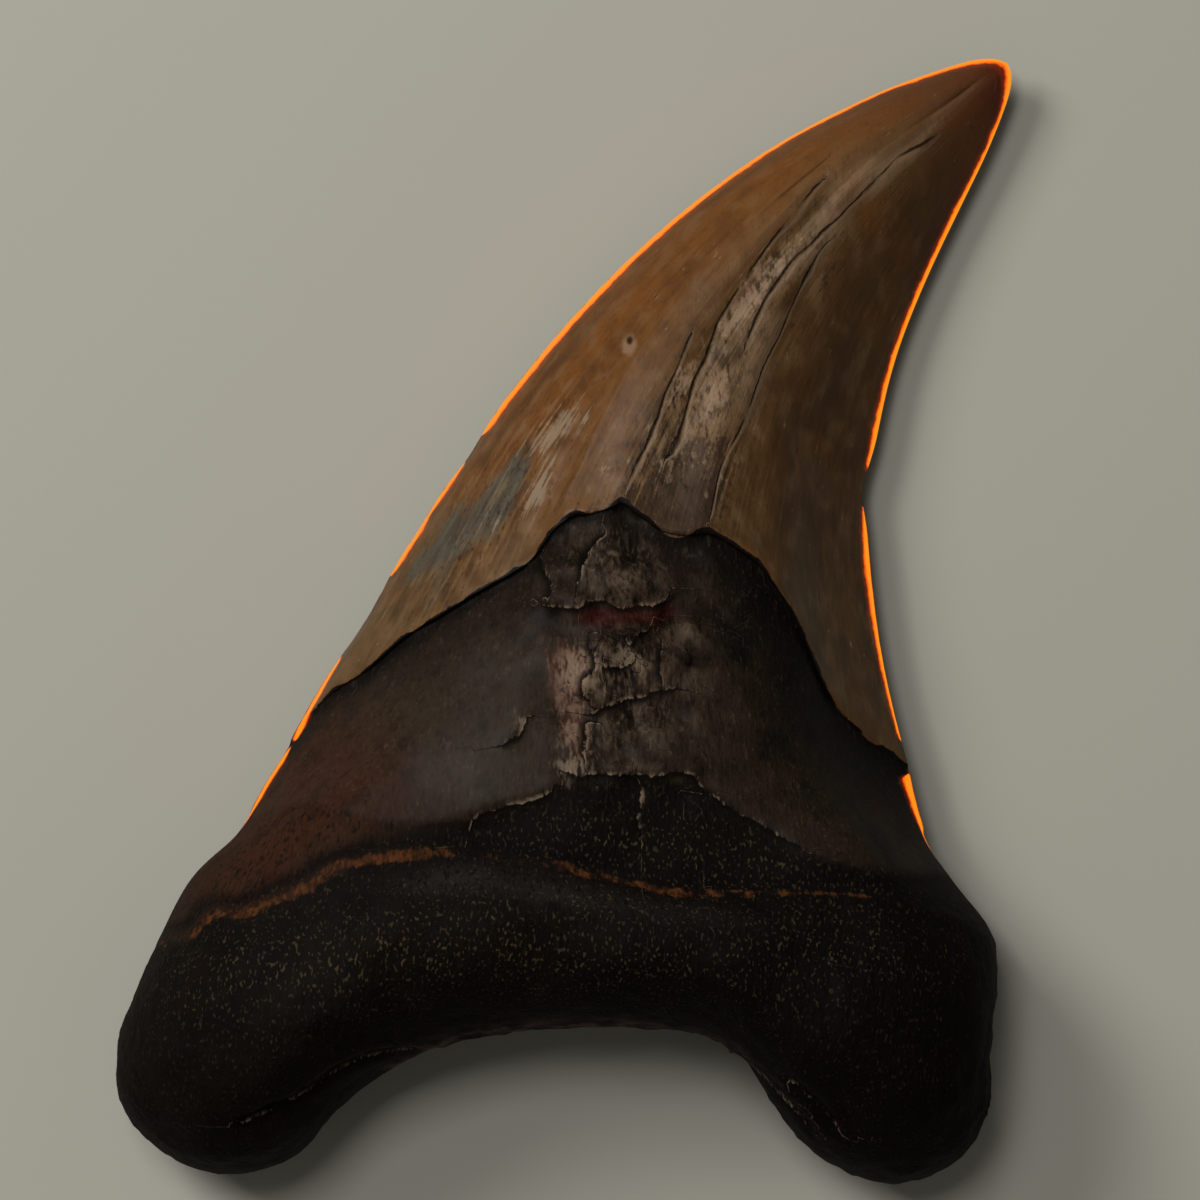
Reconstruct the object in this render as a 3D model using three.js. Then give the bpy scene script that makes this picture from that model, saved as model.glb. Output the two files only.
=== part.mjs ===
// A fossil false mako shark tooth, Parotodus: one hooked crown grown on a thick root with two lobes.
// It lies on its flat outer (labial) face, so the bulging inner (lingual) face looks up.
// Millimetres. +X runs from the front (mesial) edge to the back (distal) edge, +Y from the root
// to the tip of the crown, and +Z is up.

import * as THREE from "three";
import { ParametricGeometry } from "three/addons/geometries/ParametricGeometry.js";
import { mergeVertices } from "three/addons/utils/BufferGeometryUtils.js";

// Driving dimensions. The outline below is drawn on a tooth DRAWN_HEIGHT tall.
const TOOTH_HEIGHT = 50;
const DRAWN_HEIGHT = 50.1;
const LINGUAL_ENAMEL_STEP = 0.3; // the crown's enamel stands this proud of the dental band below it
const LABIAL_ENAMEL_STEP = 0.25;
const NECK_GROOVE = 0.35; // depth of the line between root and dental band
const CRACK_DEPTH = 0.22;
const LOBE_BULGE = 1.25; // how far each lobe reaches down below the middle of the root's labial face
const ARCH_SEAM_RISE = 1.6; // the root's lower edge is higher at the arch than at the lobes
const LUMP_HEIGHT = 0.18; // slow unevenness of the root
const RIPPLE_HEIGHT = 0.1;
const LEDGE_WAVE = 0.2; // how far a ledge's line swings to and fro
const LEDGE_FACE = 0.35; // length of the slope at a ledge
const LEDGE_RUN = 1.6; // how far behind its ledge a flake sinks back to the face

// How each face's section curves. flank is the share of the width over which the root's side rounds
// over, sink how far the root's face drops towards its sides, lens the power of the crown's lens, which
// makes the cutting edges sharper the higher it is, and base the ribs over which the base rounds over.
const LINGUAL_SECTION = { flank: 0.17, sink: 0.17, lens: 1.02, base: 1.5 };
const LABIAL_SECTION = { flank: 0.1, lens: 0.8, base: 1.1 };

// Shares of the tooth's width.
const RELIEF_MARGIN = 1 / 6; // relief fades out over this much at each edge
const ARCH_HALF_WIDTH = 0.2;
const LOBE_PLACES = [0.15, 0.85];
const LOBE_HALF_WIDTH = 0.1;
const CRACK_HALF_WIDTH = 0.02;

// How finely each face is divided: across the tooth, and from the lobes to the tip.
const COLUMNS = 38;
const ROOT_ROWS = 13;
const BAND_ROWS = 12;
const CROWN_ROWS = 37;
const BASE_CROWDING = 1.6; // the power that crowds the root's rows towards its round base
const EDGE_CROWDING = 0.4; // how much the columns crowd towards the cutting edges
const STEP_GAP = 0.05; // the ribs between the two rows of an enamel border

// Ribs run across the tooth from the lobes to the tip. mesial and distal are the ribs' two ends on
// the outline; edge, crest and under are the heights of those ends, of the lingual surface and of the
// labial surface above the table.
const RIBS = [
  { mesial: [-19.9, -19.8], distal: [18.9, -20.8], edge: 4.2, crest: 12.6, under: 0.7 },
  { mesial: [-19.7, -17.9], distal: [19.0, -18.4], edge: 4.6, crest: 13.6, under: 0.7 },
  { mesial: [-18.9, -16.0], distal: [19.3, -15.7], edge: 4.8, crest: 13.9, under: 0.7 },
  { mesial: [-18.2, -14.3], distal: [19.1, -13.7], edge: 4.6, crest: 12.6, under: 0.8 },
  { mesial: [-16.7, -11.4], distal: [17.7, -11.9], edge: 3.9, crest: 11.7, under: 0.8 },
  { mesial: [-14.6, -9.5], distal: [16.4, -10.1], edge: 3.2, crest: 11.0, under: 0.7 },
  { mesial: [-13.4, -7.4], distal: [15.8, -8.3], edge: 2.8, crest: 10.1, under: 0.5 },
  { mesial: [-12.2, -5.5], distal: [15.4, -6.6], edge: 2.6, crest: 8.9, under: 0.4 },
  { mesial: [-10.1, -1.7], distal: [14.5, -2.9], edge: 2.4, crest: 8.4, under: 0.3 },
  { mesial: [-7.8, 2.1], distal: [13.9, 0.7], edge: 2.3, crest: 8.0, under: 0.15 },
  { mesial: [-5.4, 6.0], distal: [13.6, 4.4], edge: 2.2, crest: 7.5, under: 0.05 },
  { mesial: [-2.7, 9.8], distal: [14.0, 8.1], edge: 2.1, crest: 6.9, under: 0.0 },
  { mesial: [0.7, 13.9], distal: [14.8, 11.6], edge: 2.0, crest: 6.3, under: -0.12 },
  { mesial: [4.6, 17.7], distal: [16.1, 15.0], edge: 1.9, crest: 5.6, under: -0.08 },
  { mesial: [9.0, 21.0], distal: [17.6, 18.2], edge: 1.9, crest: 4.9, under: 0.1 },
  { mesial: [13.8, 23.5], distal: [18.9, 20.9], edge: 2.0, crest: 4.0, under: 0.5 },
  { mesial: [17.4, 24.8], distal: [19.8, 23.2], edge: 2.2, crest: 3.3, under: 1.2 },
  { mesial: [19.0, 25.1], distal: [20.0, 24.3], edge: 2.3, crest: 2.8, under: 1.8 },
  { mesial: [19.8, 24.9], distal: [19.8, 24.9], edge: 2.3, crest: 2.3, under: 2.3 },
];

// The ribs that features of the tooth lie on.
const NECK = 3;
const LABIAL_BORDER = 5;
const COLLAR = 7;
const TIP = RIBS.length - 1;

// Feature lines, each from the mesial to the distal end of its rib.
const BASE_LINE = outlineOf([
  [-19.9, -19.8], [-19.4, -21.9], [-17.4, -23.8], [-14.6, -24.6], [-11.9, -23.8], [-9.9, -21.5],
  [-7.4, -19.6], [-3.8, -18.4], [0.3, -17.9], [3.9, -17.9], [6.7, -18.4], [8.5, -20.1],
  [10.3, -22.9], [12.4, -24.4], [14.9, -25.0], [17.4, -24.0], [18.6, -22.4], [18.9, -20.8],
]);
const NECK_LINE = outlineOf([
  [-18.2, -14.3], [-16.3, -13.7], [-13.8, -12.5], [-11.0, -11.4], [-9.4, -10.5], [-5.4, -9.9],
  [-2.0, -10.1], [1.6, -10.9], [5.2, -11.6], [9.3, -11.7], [13.4, -11.8], [16.3, -12.8],
  [19.1, -13.7],
]);
const LINGUAL_ENAMEL_LINE = outlineOf([
  [-12.2, -5.5], [-10.3, -3.2], [-9.2, -2.6], [-8.1, -1.7], [-7.0, -0.7], [-5.6, 0.1], [-3.7, 1.3],
  [-2.0, 2.2], [-1.1, 2.9], [-0.5, 4.0], [0.6, 4.8], [1.7, 4.7], [2.7, 5.2], [3.7, 4.4], [4.9, 3.6],
  [6.1, 4.0], [7.3, 3.4], [8.7, 2.4], [10.2, 0.2], [10.8, -1.2], [11.6, -3.1], [12.9, -4.7],
  [14.2, -5.7], [15.4, -6.6],
]);
const LABIAL_ENAMEL_LINE = outlineOf([
  [-14.6, -9.5], [-10.5, -9.3], [-5.5, -8.0], [0, -6.9], [5.5, -7.7], [11.5, -9.4], [16.4, -10.1],
]);

// Three long cracks in the lingual enamel: the column each follows, and the ribs it runs between.
const CRACK_FADE = 0.8; // the ribs over which a crack fades out at each end
const CRACKS = [
  { column: 17, from: 8, to: 14.2 },
  { column: 21, from: 8.5, to: 16 },
  { column: 25, from: 8, to: 12.5 },
];

// Flakes that have come off the dental band, each ending in a ledge that faces the root.
const LEDGES = [
  { x: 2.4, y: 0.6, reach: 4.6, drop: 0.5 },
  { x: 3.1, y: -3.4, reach: 3.0, drop: 0.45 },
  { x: 3.0, y: -6.8, reach: 4.4, drop: 0.5 },
];

// Folds in the lower faces of the lobes, as lines from one point to another.
const FOLDS = [
  { from: [-14.2, -22.0], to: [-6.4, -18.9], width: 0.7, depth: 0.75 },
  { from: [7.6, -19.0], to: [12.6, -21.9], width: 0.7, depth: 0.75 },
  { from: [8.4, -19.9], to: [11.6, -22.9], width: 0.5, depth: 0.55 },
];

// Nicks in the cutting edges: the rib at the middle of each, its half length in ribs, and its depth.
const MESIAL_NICKS = [
  { rib: 10.35, half: 0.28, depth: 0.3 },
  { rib: 9.55, half: 0.3, depth: 0.16 },
  { rib: 8.5, half: 0.5, depth: 0.3 },
];
const DISTAL_NICKS = [{ rib: 10.4, half: 0.3, depth: 0.38 }];

function outlineOf(points) {
  return new THREE.SplineCurve(points.map(([x, y]) => new THREE.Vector2(x, y)));
}

const lerp = THREE.MathUtils.lerp;
const clamp01 = (value) => THREE.MathUtils.clamp(value, 0, 1);
const bell = (value, middle, width) => Math.exp(-(((value - middle) / width) ** 2));
const smooth = (value, from, to) => THREE.MathUtils.smoothstep(value, from, to);

// A quarter circle's rise: 0 at the edge, 1 from the given radius inwards.
const roundOver = (distance, radius) => Math.sqrt(1 - (1 - clamp01(distance / radius)) ** 2);

const mesialEdge = outlineOf(RIBS.map((rib) => rib.mesial));
const distalEdge = outlineOf(RIBS.map((rib) => rib.distal));
const heights = new THREE.CatmullRomCurve3(
  RIBS.map((rib) => new THREE.Vector3(rib.edge, rib.crest, rib.under)),
  false,
  "catmullrom",
);

function heightsAt(rib) {
  const { x, y, z } = heights.getPoint(rib / TIP);
  return { edge: x, crest: y, under: z };
}

function nickDepth(nicks, rib) {
  return nicks.reduce((sum, nick) => sum + nick.depth * bell(rib, nick.rib, nick.half), 0);
}

// The straight line across the tooth at a rib, at a share of the way from mesial to distal.
function chord(rib, across) {
  const mesial = mesialEdge.getPoint(rib / TIP);
  const distal = distalEdge.getPoint(rib / TIP);
  const inwards = distal.clone().sub(mesial).normalize();
  mesial.addScaledVector(inwards, nickDepth(MESIAL_NICKS, rib));
  distal.addScaledVector(inwards, -nickDepth(DISTAL_NICKS, rib));
  return mesial.lerp(distal, across);
}

// How far a feature line bows away from the straight line across its rib.
function bow(line, rib, across) {
  return line.getPointAt(across).sub(chord(rib, across));
}

// Where a point of the surface lies in the plan view. Between feature lines the rows change from one
// line's shape to the next, and towards the tip they straighten.
function planOf(rib, across, stations) {
  const next = stations.findIndex((station) => rib <= station.rib);
  if (next === 0) return chord(rib, across).add(bow(stations[0].line, 0, across));
  const last = stations[next === -1 ? stations.length - 1 : next - 1];
  const bend = bow(last.line, last.rib, across);
  if (next === -1) {
    const left = 1 - (rib - last.rib) / (TIP - last.rib);
    return chord(rib, across).addScaledVector(bend, left ** 2);
  }
  const share = (rib - last.rib) / (stations[next].rib - last.rib);
  return chord(rib, across).add(bend.lerp(bow(stations[next].line, stations[next].rib, across), share));
}

const LINGUAL_STATIONS = [
  { rib: 0, line: BASE_LINE },
  { rib: NECK, line: NECK_LINE },
  { rib: COLLAR, line: LINGUAL_ENAMEL_LINE },
];
const LABIAL_STATIONS = [
  { rib: 0, line: BASE_LINE },
  { rib: LABIAL_BORDER, line: LABIAL_ENAMEL_LINE },
];

// 0 in the root, whose flanks are round, and 1 in the crown, whose edges are sharp.
const crownShare = (rib) => smooth(rib, NECK, COLLAR);
const edgeHeight = (rib, across) =>
  heightsAt(rib).edge + ARCH_SEAM_RISE * bell(across, 0.5, ARCH_HALF_WIDTH) * (1 - smooth(rib, 0, 2));

// Fine relief of the lingual face: ledges of the flaked band, folds in the lobes, and cracks.
function flakeRelief(x, y) {
  return LEDGES.reduce((sum, ledge) => {
    const above = y - ledge.y - LEDGE_WAVE * Math.sin(1.9 * x + ledge.y);
    const fade = above < 0 ? 0 : Math.exp(-above / LEDGE_RUN) * smooth(above, 0, LEDGE_FACE);
    return sum + ledge.drop * fade * bell(x, ledge.x, ledge.reach);
  }, 0);
}

function foldRelief(x, y) {
  return FOLDS.reduce((sum, fold) => {
    const start = new THREE.Vector2(...fold.from);
    const run = new THREE.Vector2(...fold.to).sub(start);
    const point = new THREE.Vector2(x, y).sub(start);
    const along = clamp01(point.dot(run) / run.lengthSq());
    const away = point.addScaledVector(run, -along).length();
    return sum - fold.depth * bell(away, 0, fold.width);
  }, 0);
}

function crackRelief(rib, across) {
  return CRACKS.reduce((sum, crack) => {
    const starts = smooth(rib, crack.from - CRACK_FADE, crack.from);
    const ends = 1 - smooth(rib, crack.to - CRACK_FADE, crack.to);
    const line = bell(across, columnPlace(crack.column / COLUMNS), CRACK_HALF_WIDTH);
    return sum - CRACK_DEPTH * starts * ends * line;
  }, 0);
}

// Slow unevenness that keeps the root from looking turned.
const rootLumps = (x, y) =>
  LUMP_HEIGHT * Math.sin(0.55 * x + 1) * Math.cos(0.7 * y) + RIPPLE_HEIGHT * Math.sin(1.1 * x - 0.8 * y);

// 0 on either cutting edge and 1 halfway across.
const bulge = (across, power) => (4 * across * (1 - across)) ** power;

function lingualPoint(rib, across) {
  const plan = planOf(rib, across, LINGUAL_STATIONS);
  const edge = edgeHeight(rib, across);
  const inwards = Math.min(across, 1 - across);
  const level = 1 - LINGUAL_SECTION.sink * (2 * across - 1) ** 2;
  const flank = roundOver(inwards, LINGUAL_SECTION.flank) * level;
  const base = roundOver(rib, LINGUAL_SECTION.base);
  const rise = lerp(flank, bulge(across, LINGUAL_SECTION.lens), crownShare(rib)) * base;
  const inside = clamp01(inwards / RELIEF_MARGIN) * base;
  const relief =
    flakeRelief(plan.x, plan.y) * smooth(rib, NECK, NECK + 0.5) * (1 - smooth(rib, COLLAR - 0.4, COLLAR)) +
    foldRelief(plan.x, plan.y) * (1 - crownShare(rib)) +
    rootLumps(plan.x, plan.y) * (1 - crownShare(rib)) +
    crackRelief(rib, across) -
    NECK_GROOVE * bell(rib, NECK, 0.16) +
    LINGUAL_ENAMEL_STEP * (rib > COLLAR ? 1 - smooth(rib, COLLAR + 2, TIP - 3) : 0);
  const { crest } = heightsAt(rib);
  return new THREE.Vector3(plan.x, plan.y, edge + (crest - edge) * rise + relief * inside);
}

function labialPoint(rib, across) {
  const plan = planOf(rib, across, LABIAL_STATIONS);
  const edge = edgeHeight(rib, across);
  const flank = roundOver(Math.min(across, 1 - across), LABIAL_SECTION.flank);
  const lens = bulge(across, LABIAL_SECTION.lens);
  const fall = lerp(flank, lens, crownShare(rib)) * roundOver(rib, LABIAL_SECTION.base);
  const lobes = LOBE_PLACES.reduce((sum, place) => sum + bell(across, place, LOBE_HALF_WIDTH), 0);
  const level =
    heightsAt(rib).under -
    LOBE_BULGE * lobes * (1 - smooth(rib, 1.5, 4)) +
    LABIAL_ENAMEL_STEP * (rib < LABIAL_BORDER ? 1 : 0);
  return new THREE.Vector3(plan.x, plan.y, Math.max(0, edge - (edge - level) * fall));
}

// The rows of the surface, as places among the ribs. They crowd at the round base, and two rows close
// together make the step at each enamel border.
function rowPlaces() {
  const rows = [];
  for (let k = 0; k < ROOT_ROWS; k++) rows.push(NECK * (k / ROOT_ROWS) ** BASE_CROWDING);
  for (let k = 0; k < BAND_ROWS; k++) {
    const place = lerp(NECK, COLLAR, k / BAND_ROWS);
    rows.push(Math.abs(place - LABIAL_BORDER) < 1e-6 ? LABIAL_BORDER - STEP_GAP : place);
  }
  rows.push(COLLAR);
  for (let k = 0; k <= CROWN_ROWS; k++) rows.push(lerp(COLLAR + STEP_GAP, TIP, k / CROWN_ROWS));
  return rows;
}

// Columns crowd towards the two edges, where the surface turns fastest.
const columnPlace = (share) => lerp(share, (1 - Math.cos(Math.PI * share)) / 2, EDGE_CROWDING);

// One skin: each row runs over the lingual face and back under the labial one.
function toothGeometry() {
  const rows = rowPlaces();
  const lastRow = rows.length - 1;
  const skin = new ParametricGeometry(
    (around, along, target) => {
      const rib = rows[Math.round(along * lastRow)];
      const column = Math.round(around * 2 * COLUMNS);
      if (column <= COLUMNS) target.copy(lingualPoint(rib, columnPlace(column / COLUMNS)));
      else target.copy(labialPoint(rib, columnPlace(2 - column / COLUMNS)));
    },
    2 * COLUMNS,
    lastRow,
  );
  skin.deleteAttribute("normal");
  skin.deleteAttribute("uv");
  return standOnTable(closeSeams(skin));
}

// Scales the drawn tooth to its height and puts the origin under the middle of its box, at the table.
function standOnTable(geometry) {
  geometry.scale(...Array(3).fill(TOOTH_HEIGHT / DRAWN_HEIGHT)).center();
  return geometry.translate(0, 0, -geometry.boundingBox.min.z);
}

// The two faces meet along the outline and at the tip, where their equal points become one and the
// triangles between them vanish.
function closeSeams(skin) {
  const merged = mergeVertices(skin, 1e-3);
  const index = Array.from(merged.index.array);
  const kept = [];
  for (let k = 0; k < index.length; k += 3) {
    const [a, b, c] = index.slice(k, k + 3);
    if (a !== b && b !== c && c !== a) kept.push(a, b, c);
  }
  merged.setIndex(kept);
  return merged;
}

const fossil = new THREE.MeshStandardMaterial({ color: 0x3b2c1f, roughness: 0.5, metalness: 0 });

const tooth = new THREE.Mesh(toothGeometry(), fossil);
tooth.name = "tooth";

const group = new THREE.Group();
group.add(tooth);

export default group;
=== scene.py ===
"""The look of a fossil shark tooth that lies on its flat outer face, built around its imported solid."""

from __future__ import annotations

import logging
import math
from dataclasses import dataclass
from enum import Enum

import bpy
import numpy as np
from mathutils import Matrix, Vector, noise

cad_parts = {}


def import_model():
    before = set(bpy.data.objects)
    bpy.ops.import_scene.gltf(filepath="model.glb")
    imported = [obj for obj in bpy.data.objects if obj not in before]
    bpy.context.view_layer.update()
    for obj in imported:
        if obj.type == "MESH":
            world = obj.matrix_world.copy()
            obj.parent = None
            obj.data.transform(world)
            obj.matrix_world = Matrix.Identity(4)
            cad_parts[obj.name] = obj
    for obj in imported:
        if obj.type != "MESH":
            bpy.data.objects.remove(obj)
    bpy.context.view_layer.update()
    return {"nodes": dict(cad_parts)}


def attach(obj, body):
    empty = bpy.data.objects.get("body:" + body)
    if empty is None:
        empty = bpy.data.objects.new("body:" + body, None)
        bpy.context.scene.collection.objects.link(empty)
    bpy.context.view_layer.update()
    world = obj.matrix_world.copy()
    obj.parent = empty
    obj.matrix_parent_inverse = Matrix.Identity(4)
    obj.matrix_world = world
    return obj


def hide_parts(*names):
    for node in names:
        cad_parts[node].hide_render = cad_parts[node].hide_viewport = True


LOG = logging.getLogger("fossil_tooth")
MM = 0.001

Triple = tuple[float, float, float]
Colour = Triple
PicturePoints = tuple[tuple[int, int], ...]

# Feature lines, in pixels of the picture, which looks straight down on the tooth.
MESIAL_EDGE: PicturePoints = (
    (122, 1060), (126, 1018), (144, 976), (160, 938), (193, 874), (240, 832), (266, 785), (293, 743),
    (340, 658), (391, 574), (444, 487), (504, 403), (580, 312), (666, 227), (764, 154), (871, 98),
    (951, 69), (986, 63), (1004, 67),
)
DISTAL_EDGE: PicturePoints = (
    (984, 1083), (986, 1029), (993, 969), (988, 925), (957, 885), (928, 845), (915, 805), (906, 767),
    (886, 685), (873, 605), (866, 523), (875, 440), (893, 363), (922, 287), (955, 216), (984, 156),
    (1004, 105), (1008, 80), (1004, 67),
)
INNER_ENAMEL_BORDER: PicturePoints = (
    (293, 743), (335, 692), (360, 680), (384, 659), (409, 636), (420, 634), (440, 618), (467, 603),
    (481, 592), (505, 581), (519, 571), (534, 567), (540, 556), (547, 543), (554, 533), (566, 523),
    (577, 515), (588, 519), (602, 518), (612, 510), (623, 502), (631, 512), (647, 523), (659, 537),
    (672, 543), (686, 541), (700, 532), (711, 535), (725, 544), (742, 555), (758, 568), (770, 590),
    (790, 618), (803, 648), (822, 690), (834, 712), (850, 725), (866, 744), (880, 747), (906, 768),
)
OUTER_ENAMEL_BORDER: PicturePoints = (
    (240, 832), (331, 827), (442, 798), (564, 774), (686, 792), (820, 829), (928, 845),
)
NECK_LINE: PicturePoints = (
    (158, 938), (202, 925), (225, 903), (258, 899), (319, 874), (355, 853), (444, 840), (520, 845),
    (600, 862), (680, 879), (770, 880), (862, 883), (915, 901), (950, 912), (988, 924),
)
ARCH_EDGE: PicturePoints = (
    (396, 1062), (420, 1044), (440, 1036), (480, 1026), (520, 1020), (560, 1017), (600, 1016),
    (640, 1018), (680, 1024), (704, 1030), (730, 1045),
)
LOWER_BAND: PicturePoints = (
    (180, 860), (300, 800), (400, 812), (471, 808), (525, 794), (563, 776), (600, 772), (690, 774),
    (727, 801), (757, 817), (798, 842), (860, 858), (950, 870),
)
# How much faster the light at the rim fades up the slope than across the plan.
RIM_CLIMB = 1.1

# Noises at the vertices, in bumps to a millimetre along each axis.
WRINKLE_GRAIN: Triple = (0.5, 2.4, 0.8)
LOBE_GRAIN: Triple = (0.45, 0.45, 0.45)
PORE_GRAIN: Triple = (1.8, 1.3, 1.8)
FLANK_GRAIN: Triple = (0.7, 0.5, 0.7)
CRUMB_GRAIN: Triple = (1.3, 0.9, 1.3)
CROWN_GRAIN: Triple = (0.35, 0.2, 0.3)
CREASE_GRAIN: Triple = (1.1, 0.8, 1.1)
BLOTCH_GRAIN: Triple = (0.24, 0.24, 0.24)
MOTTLE_GRAIN: Triple = (0.6, 0.6, 0.6)
PLATE_GRAIN: Triple = (0.9, 1.3, 0.9)
# Noises along the crown's hook, in bumps to a unit of its own coordinates.
BROAD_FLOW: Triple = (0.8, 0.2, 1.0)
STREAK_FLOW: Triple = (1.9, 0.3, 1.0)
HAIR_FLOW: Triple = (120.0, 1.5, 5.0)
# Noises in the finish, in bumps to a millimetre along each axis.
SCALE_GRAIN: Triple = (1.7, 1.5, 1.7)
FIBRE_GRAIN: Triple = (5.5, 1.6, 5.5)
DASH_GRAIN: Triple = (8.5, 4.5, 8.5)


@dataclass(frozen=True)
class Rim:
    """How wide light shows through one thin cutting edge: widths in pixels at heights in pixels.

    Attributes:
        rows: Heights in the picture, from the tip downwards.
        widths: The glowing width at each of those heights, 0 where the edge is broken or thick.
    """

    rows: tuple[int, ...]
    widths: tuple[float, ...]


MESIAL_RIM = Rim(
    rows=(60, 74, 95, 160, 300, 430, 436, 441, 458, 464, 480, 505, 515, 530, 560, 574, 580, 652,
          662, 700, 738, 742, 747, 760, 800, 824, 834),
    widths=(16, 13, 9, 12, 16, 15, 8, 0, 0, 8, 17, 14, 7, 17, 15, 6, 0, 0,
            9, 10, 7, 0, 5, 15, 13, 4, 0),
)
DISTAL_RIM = Rim(
    rows=(60, 78, 105, 150, 300, 440, 470, 477, 502, 508, 560, 640, 690, 735, 744, 770, 776, 815,
          842, 856),
    widths=(16, 14, 8, 7, 7, 8, 7, 0, 0, 7, 9, 8, 6, 5, 0, 0, 12, 12, 7, 0),
)


@dataclass(frozen=True)
class Blob:
    """A soft oval field on the picture, 1 at its middle.

    Attributes:
        middle: Its middle, in pixels.
        reach: Its half length and half width, in pixels.
        turn: The angle of its length from the picture's rightward axis, anticlockwise, in degrees.
        weight: Its height at the middle.
    """

    middle: tuple[float, float]
    reach: tuple[float, float]
    turn: float = 0.0
    weight: float = 1.0

    def field(self, pixels: np.ndarray) -> np.ndarray:
        """Works out the blob's height at points.

        Args:
            pixels: Points in picture pixels, one row each.

        Returns:
            The height at each point.
        """
        angle = math.radians(self.turn)
        away = pixels - np.array(self.middle)
        along = away[:, 0] * math.cos(angle) - away[:, 1] * math.sin(angle)
        across = away[:, 0] * math.sin(angle) + away[:, 1] * math.cos(angle)
        return self.weight * np.exp(-((along / self.reach[0]) ** 2) - (across / self.reach[1]) ** 2)


# Patches that differ from what lies round them, by the name of the attribute that carries them.
PATCHES: dict[str, tuple[Blob, ...]] = {
    "slate": (
        Blob((510, 488), (42, 17), 64),
        Blob((446, 546), (52, 19), 56, 0.85),
        Blob((484, 520), (32, 18), 60, 0.6),
        Blob((425, 640), (26, 10), 50, 0.4),
    ),
    "mineral": (
        Blob((541, 492), (32, 10), 64),
        Blob((562, 431), (28, 12), 55, 0.95),
        Blob((530, 452), (26, 8), 55, 0.7),
        Blob((585, 424), (12, 4), 60, 0.8),
        Blob((500, 524), (14, 9), 60, 0.6),
    ),
    # Pale chipped patches, and a painted granular highlight along the ridge.
    "chips": (
        Blob((712, 402), (32, 13), 66, 1.1),
        Blob((758, 290), (62, 15), 55, 0.95),
        Blob((722, 335), (26, 10), 62, 0.5),
        Blob((678, 392), (34, 12), 62, 0.9),
        Blob((822, 184), (10, 3), 50, 0.7),
        Blob((612, 474), (24, 14), 60, 0.55),
        Blob((672, 462), (40, 18), 62, 0.5),
        Blob((728, 470), (30, 10), 62, 0.45),
    ),
    "creased": (
        Blob((770, 290), (84, 26), 56),
        Blob((690, 410), (80, 30), 64, 1.0),
        Blob((660, 475), (70, 46), 60, 1.0),
        Blob((715, 490), (60, 20), 68, 0.8),
        Blob((450, 590), (90, 40), 50, 0.35),
        Blob((500, 505), (90, 34), 60, 0.8),
        Blob((560, 430), (40, 20), 60, 0.6),
        Blob((800, 620), (120, 50), -72, 0.2),
    ),
    "stain": (
        Blob((672, 474), (60, 36), 58),
        Blob((640, 520), (60, 24), 0, 0.9),
        Blob((700, 500), (50, 22), 66, 0.8),
        Blob((812, 300), (70, 14), 60, 0.5),
        Blob((690, 340), (60, 8), 62, 0.4),
    ),
    "plates": (
        Blob((628, 690), (66, 95), 0),
        Blob((610, 560), (70, 42), 0, 1.0),
        Blob((640, 640), (70, 50), 0, 0.7),
    ),
    "fibrous": (
        Blob((575, 664), (24, 26), 0),
        Blob((572, 730), (18, 42), 0, 0.8),
        Blob((627, 655), (11, 10), 0, 1.1),
        Blob((524, 718), (6, 12), -30, 1.0),
        Blob((576, 762), (16, 10), 0, 0.9),
        Blob((632, 690), (56, 76), 0, 0.5),
        Blob((612, 562), (56, 34), 0, 0.5),
    ),
    "pink": (
        Blob((571, 664), (24, 32), 0),
        Blob((574, 725), (18, 44), 0, 0.8),
    ),
    "sheen": (
        Blob((440, 730), (95, 60), 0),
        Blob((500, 670), (50, 58), 0, 0.8),
        Blob((512, 770), (50, 30), 0, 0.9),
        Blob((650, 735), (48, 26), 0, 0.6),
        Blob((800, 780), (80, 40), -20, 0.25),
    ),
    "smoke": (
        Blob((455, 868), (50, 13), 5),
        Blob((555, 880), (70, 12), -8, 0.8),
        Blob((680, 900), (70, 12), -6, 0.4),
    ),
    "red": (
        Blob((604, 616), (30, 9), 0),
        Blob((648, 614), (40, 12), 0, 0.8),
        Blob((868, 803), (5, 12), 0, 0.9),
    ),
    "rusty": (
        Blob((320, 780), (90, 60), 40, 1.0),
        Blob((240, 860), (80, 50), 35, 0.7),
        Blob((400, 790), (60, 50), 0, 0.4),
    ),
    "specks": (
        Blob((420, 930), (230, 46), 8),
        Blob((240, 960), (90, 60), 40, 0.25),
        Blob((800, 930), (170, 46), 0, 0.6),
        Blob((620, 960), (160, 34), 0, 0.4),
        Blob((700, 840), (130, 28), -8, 0.75),
        Blob((560, 825), (90, 20), 0, 0.6),
    ),
}

ROUGH_FLANK = Blob((965, 1085), (40, 50))


class Run(Enum):
    """Which way a line runs in the picture: across it, or down it."""

    ACROSS = 0
    DOWN = 1


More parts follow.
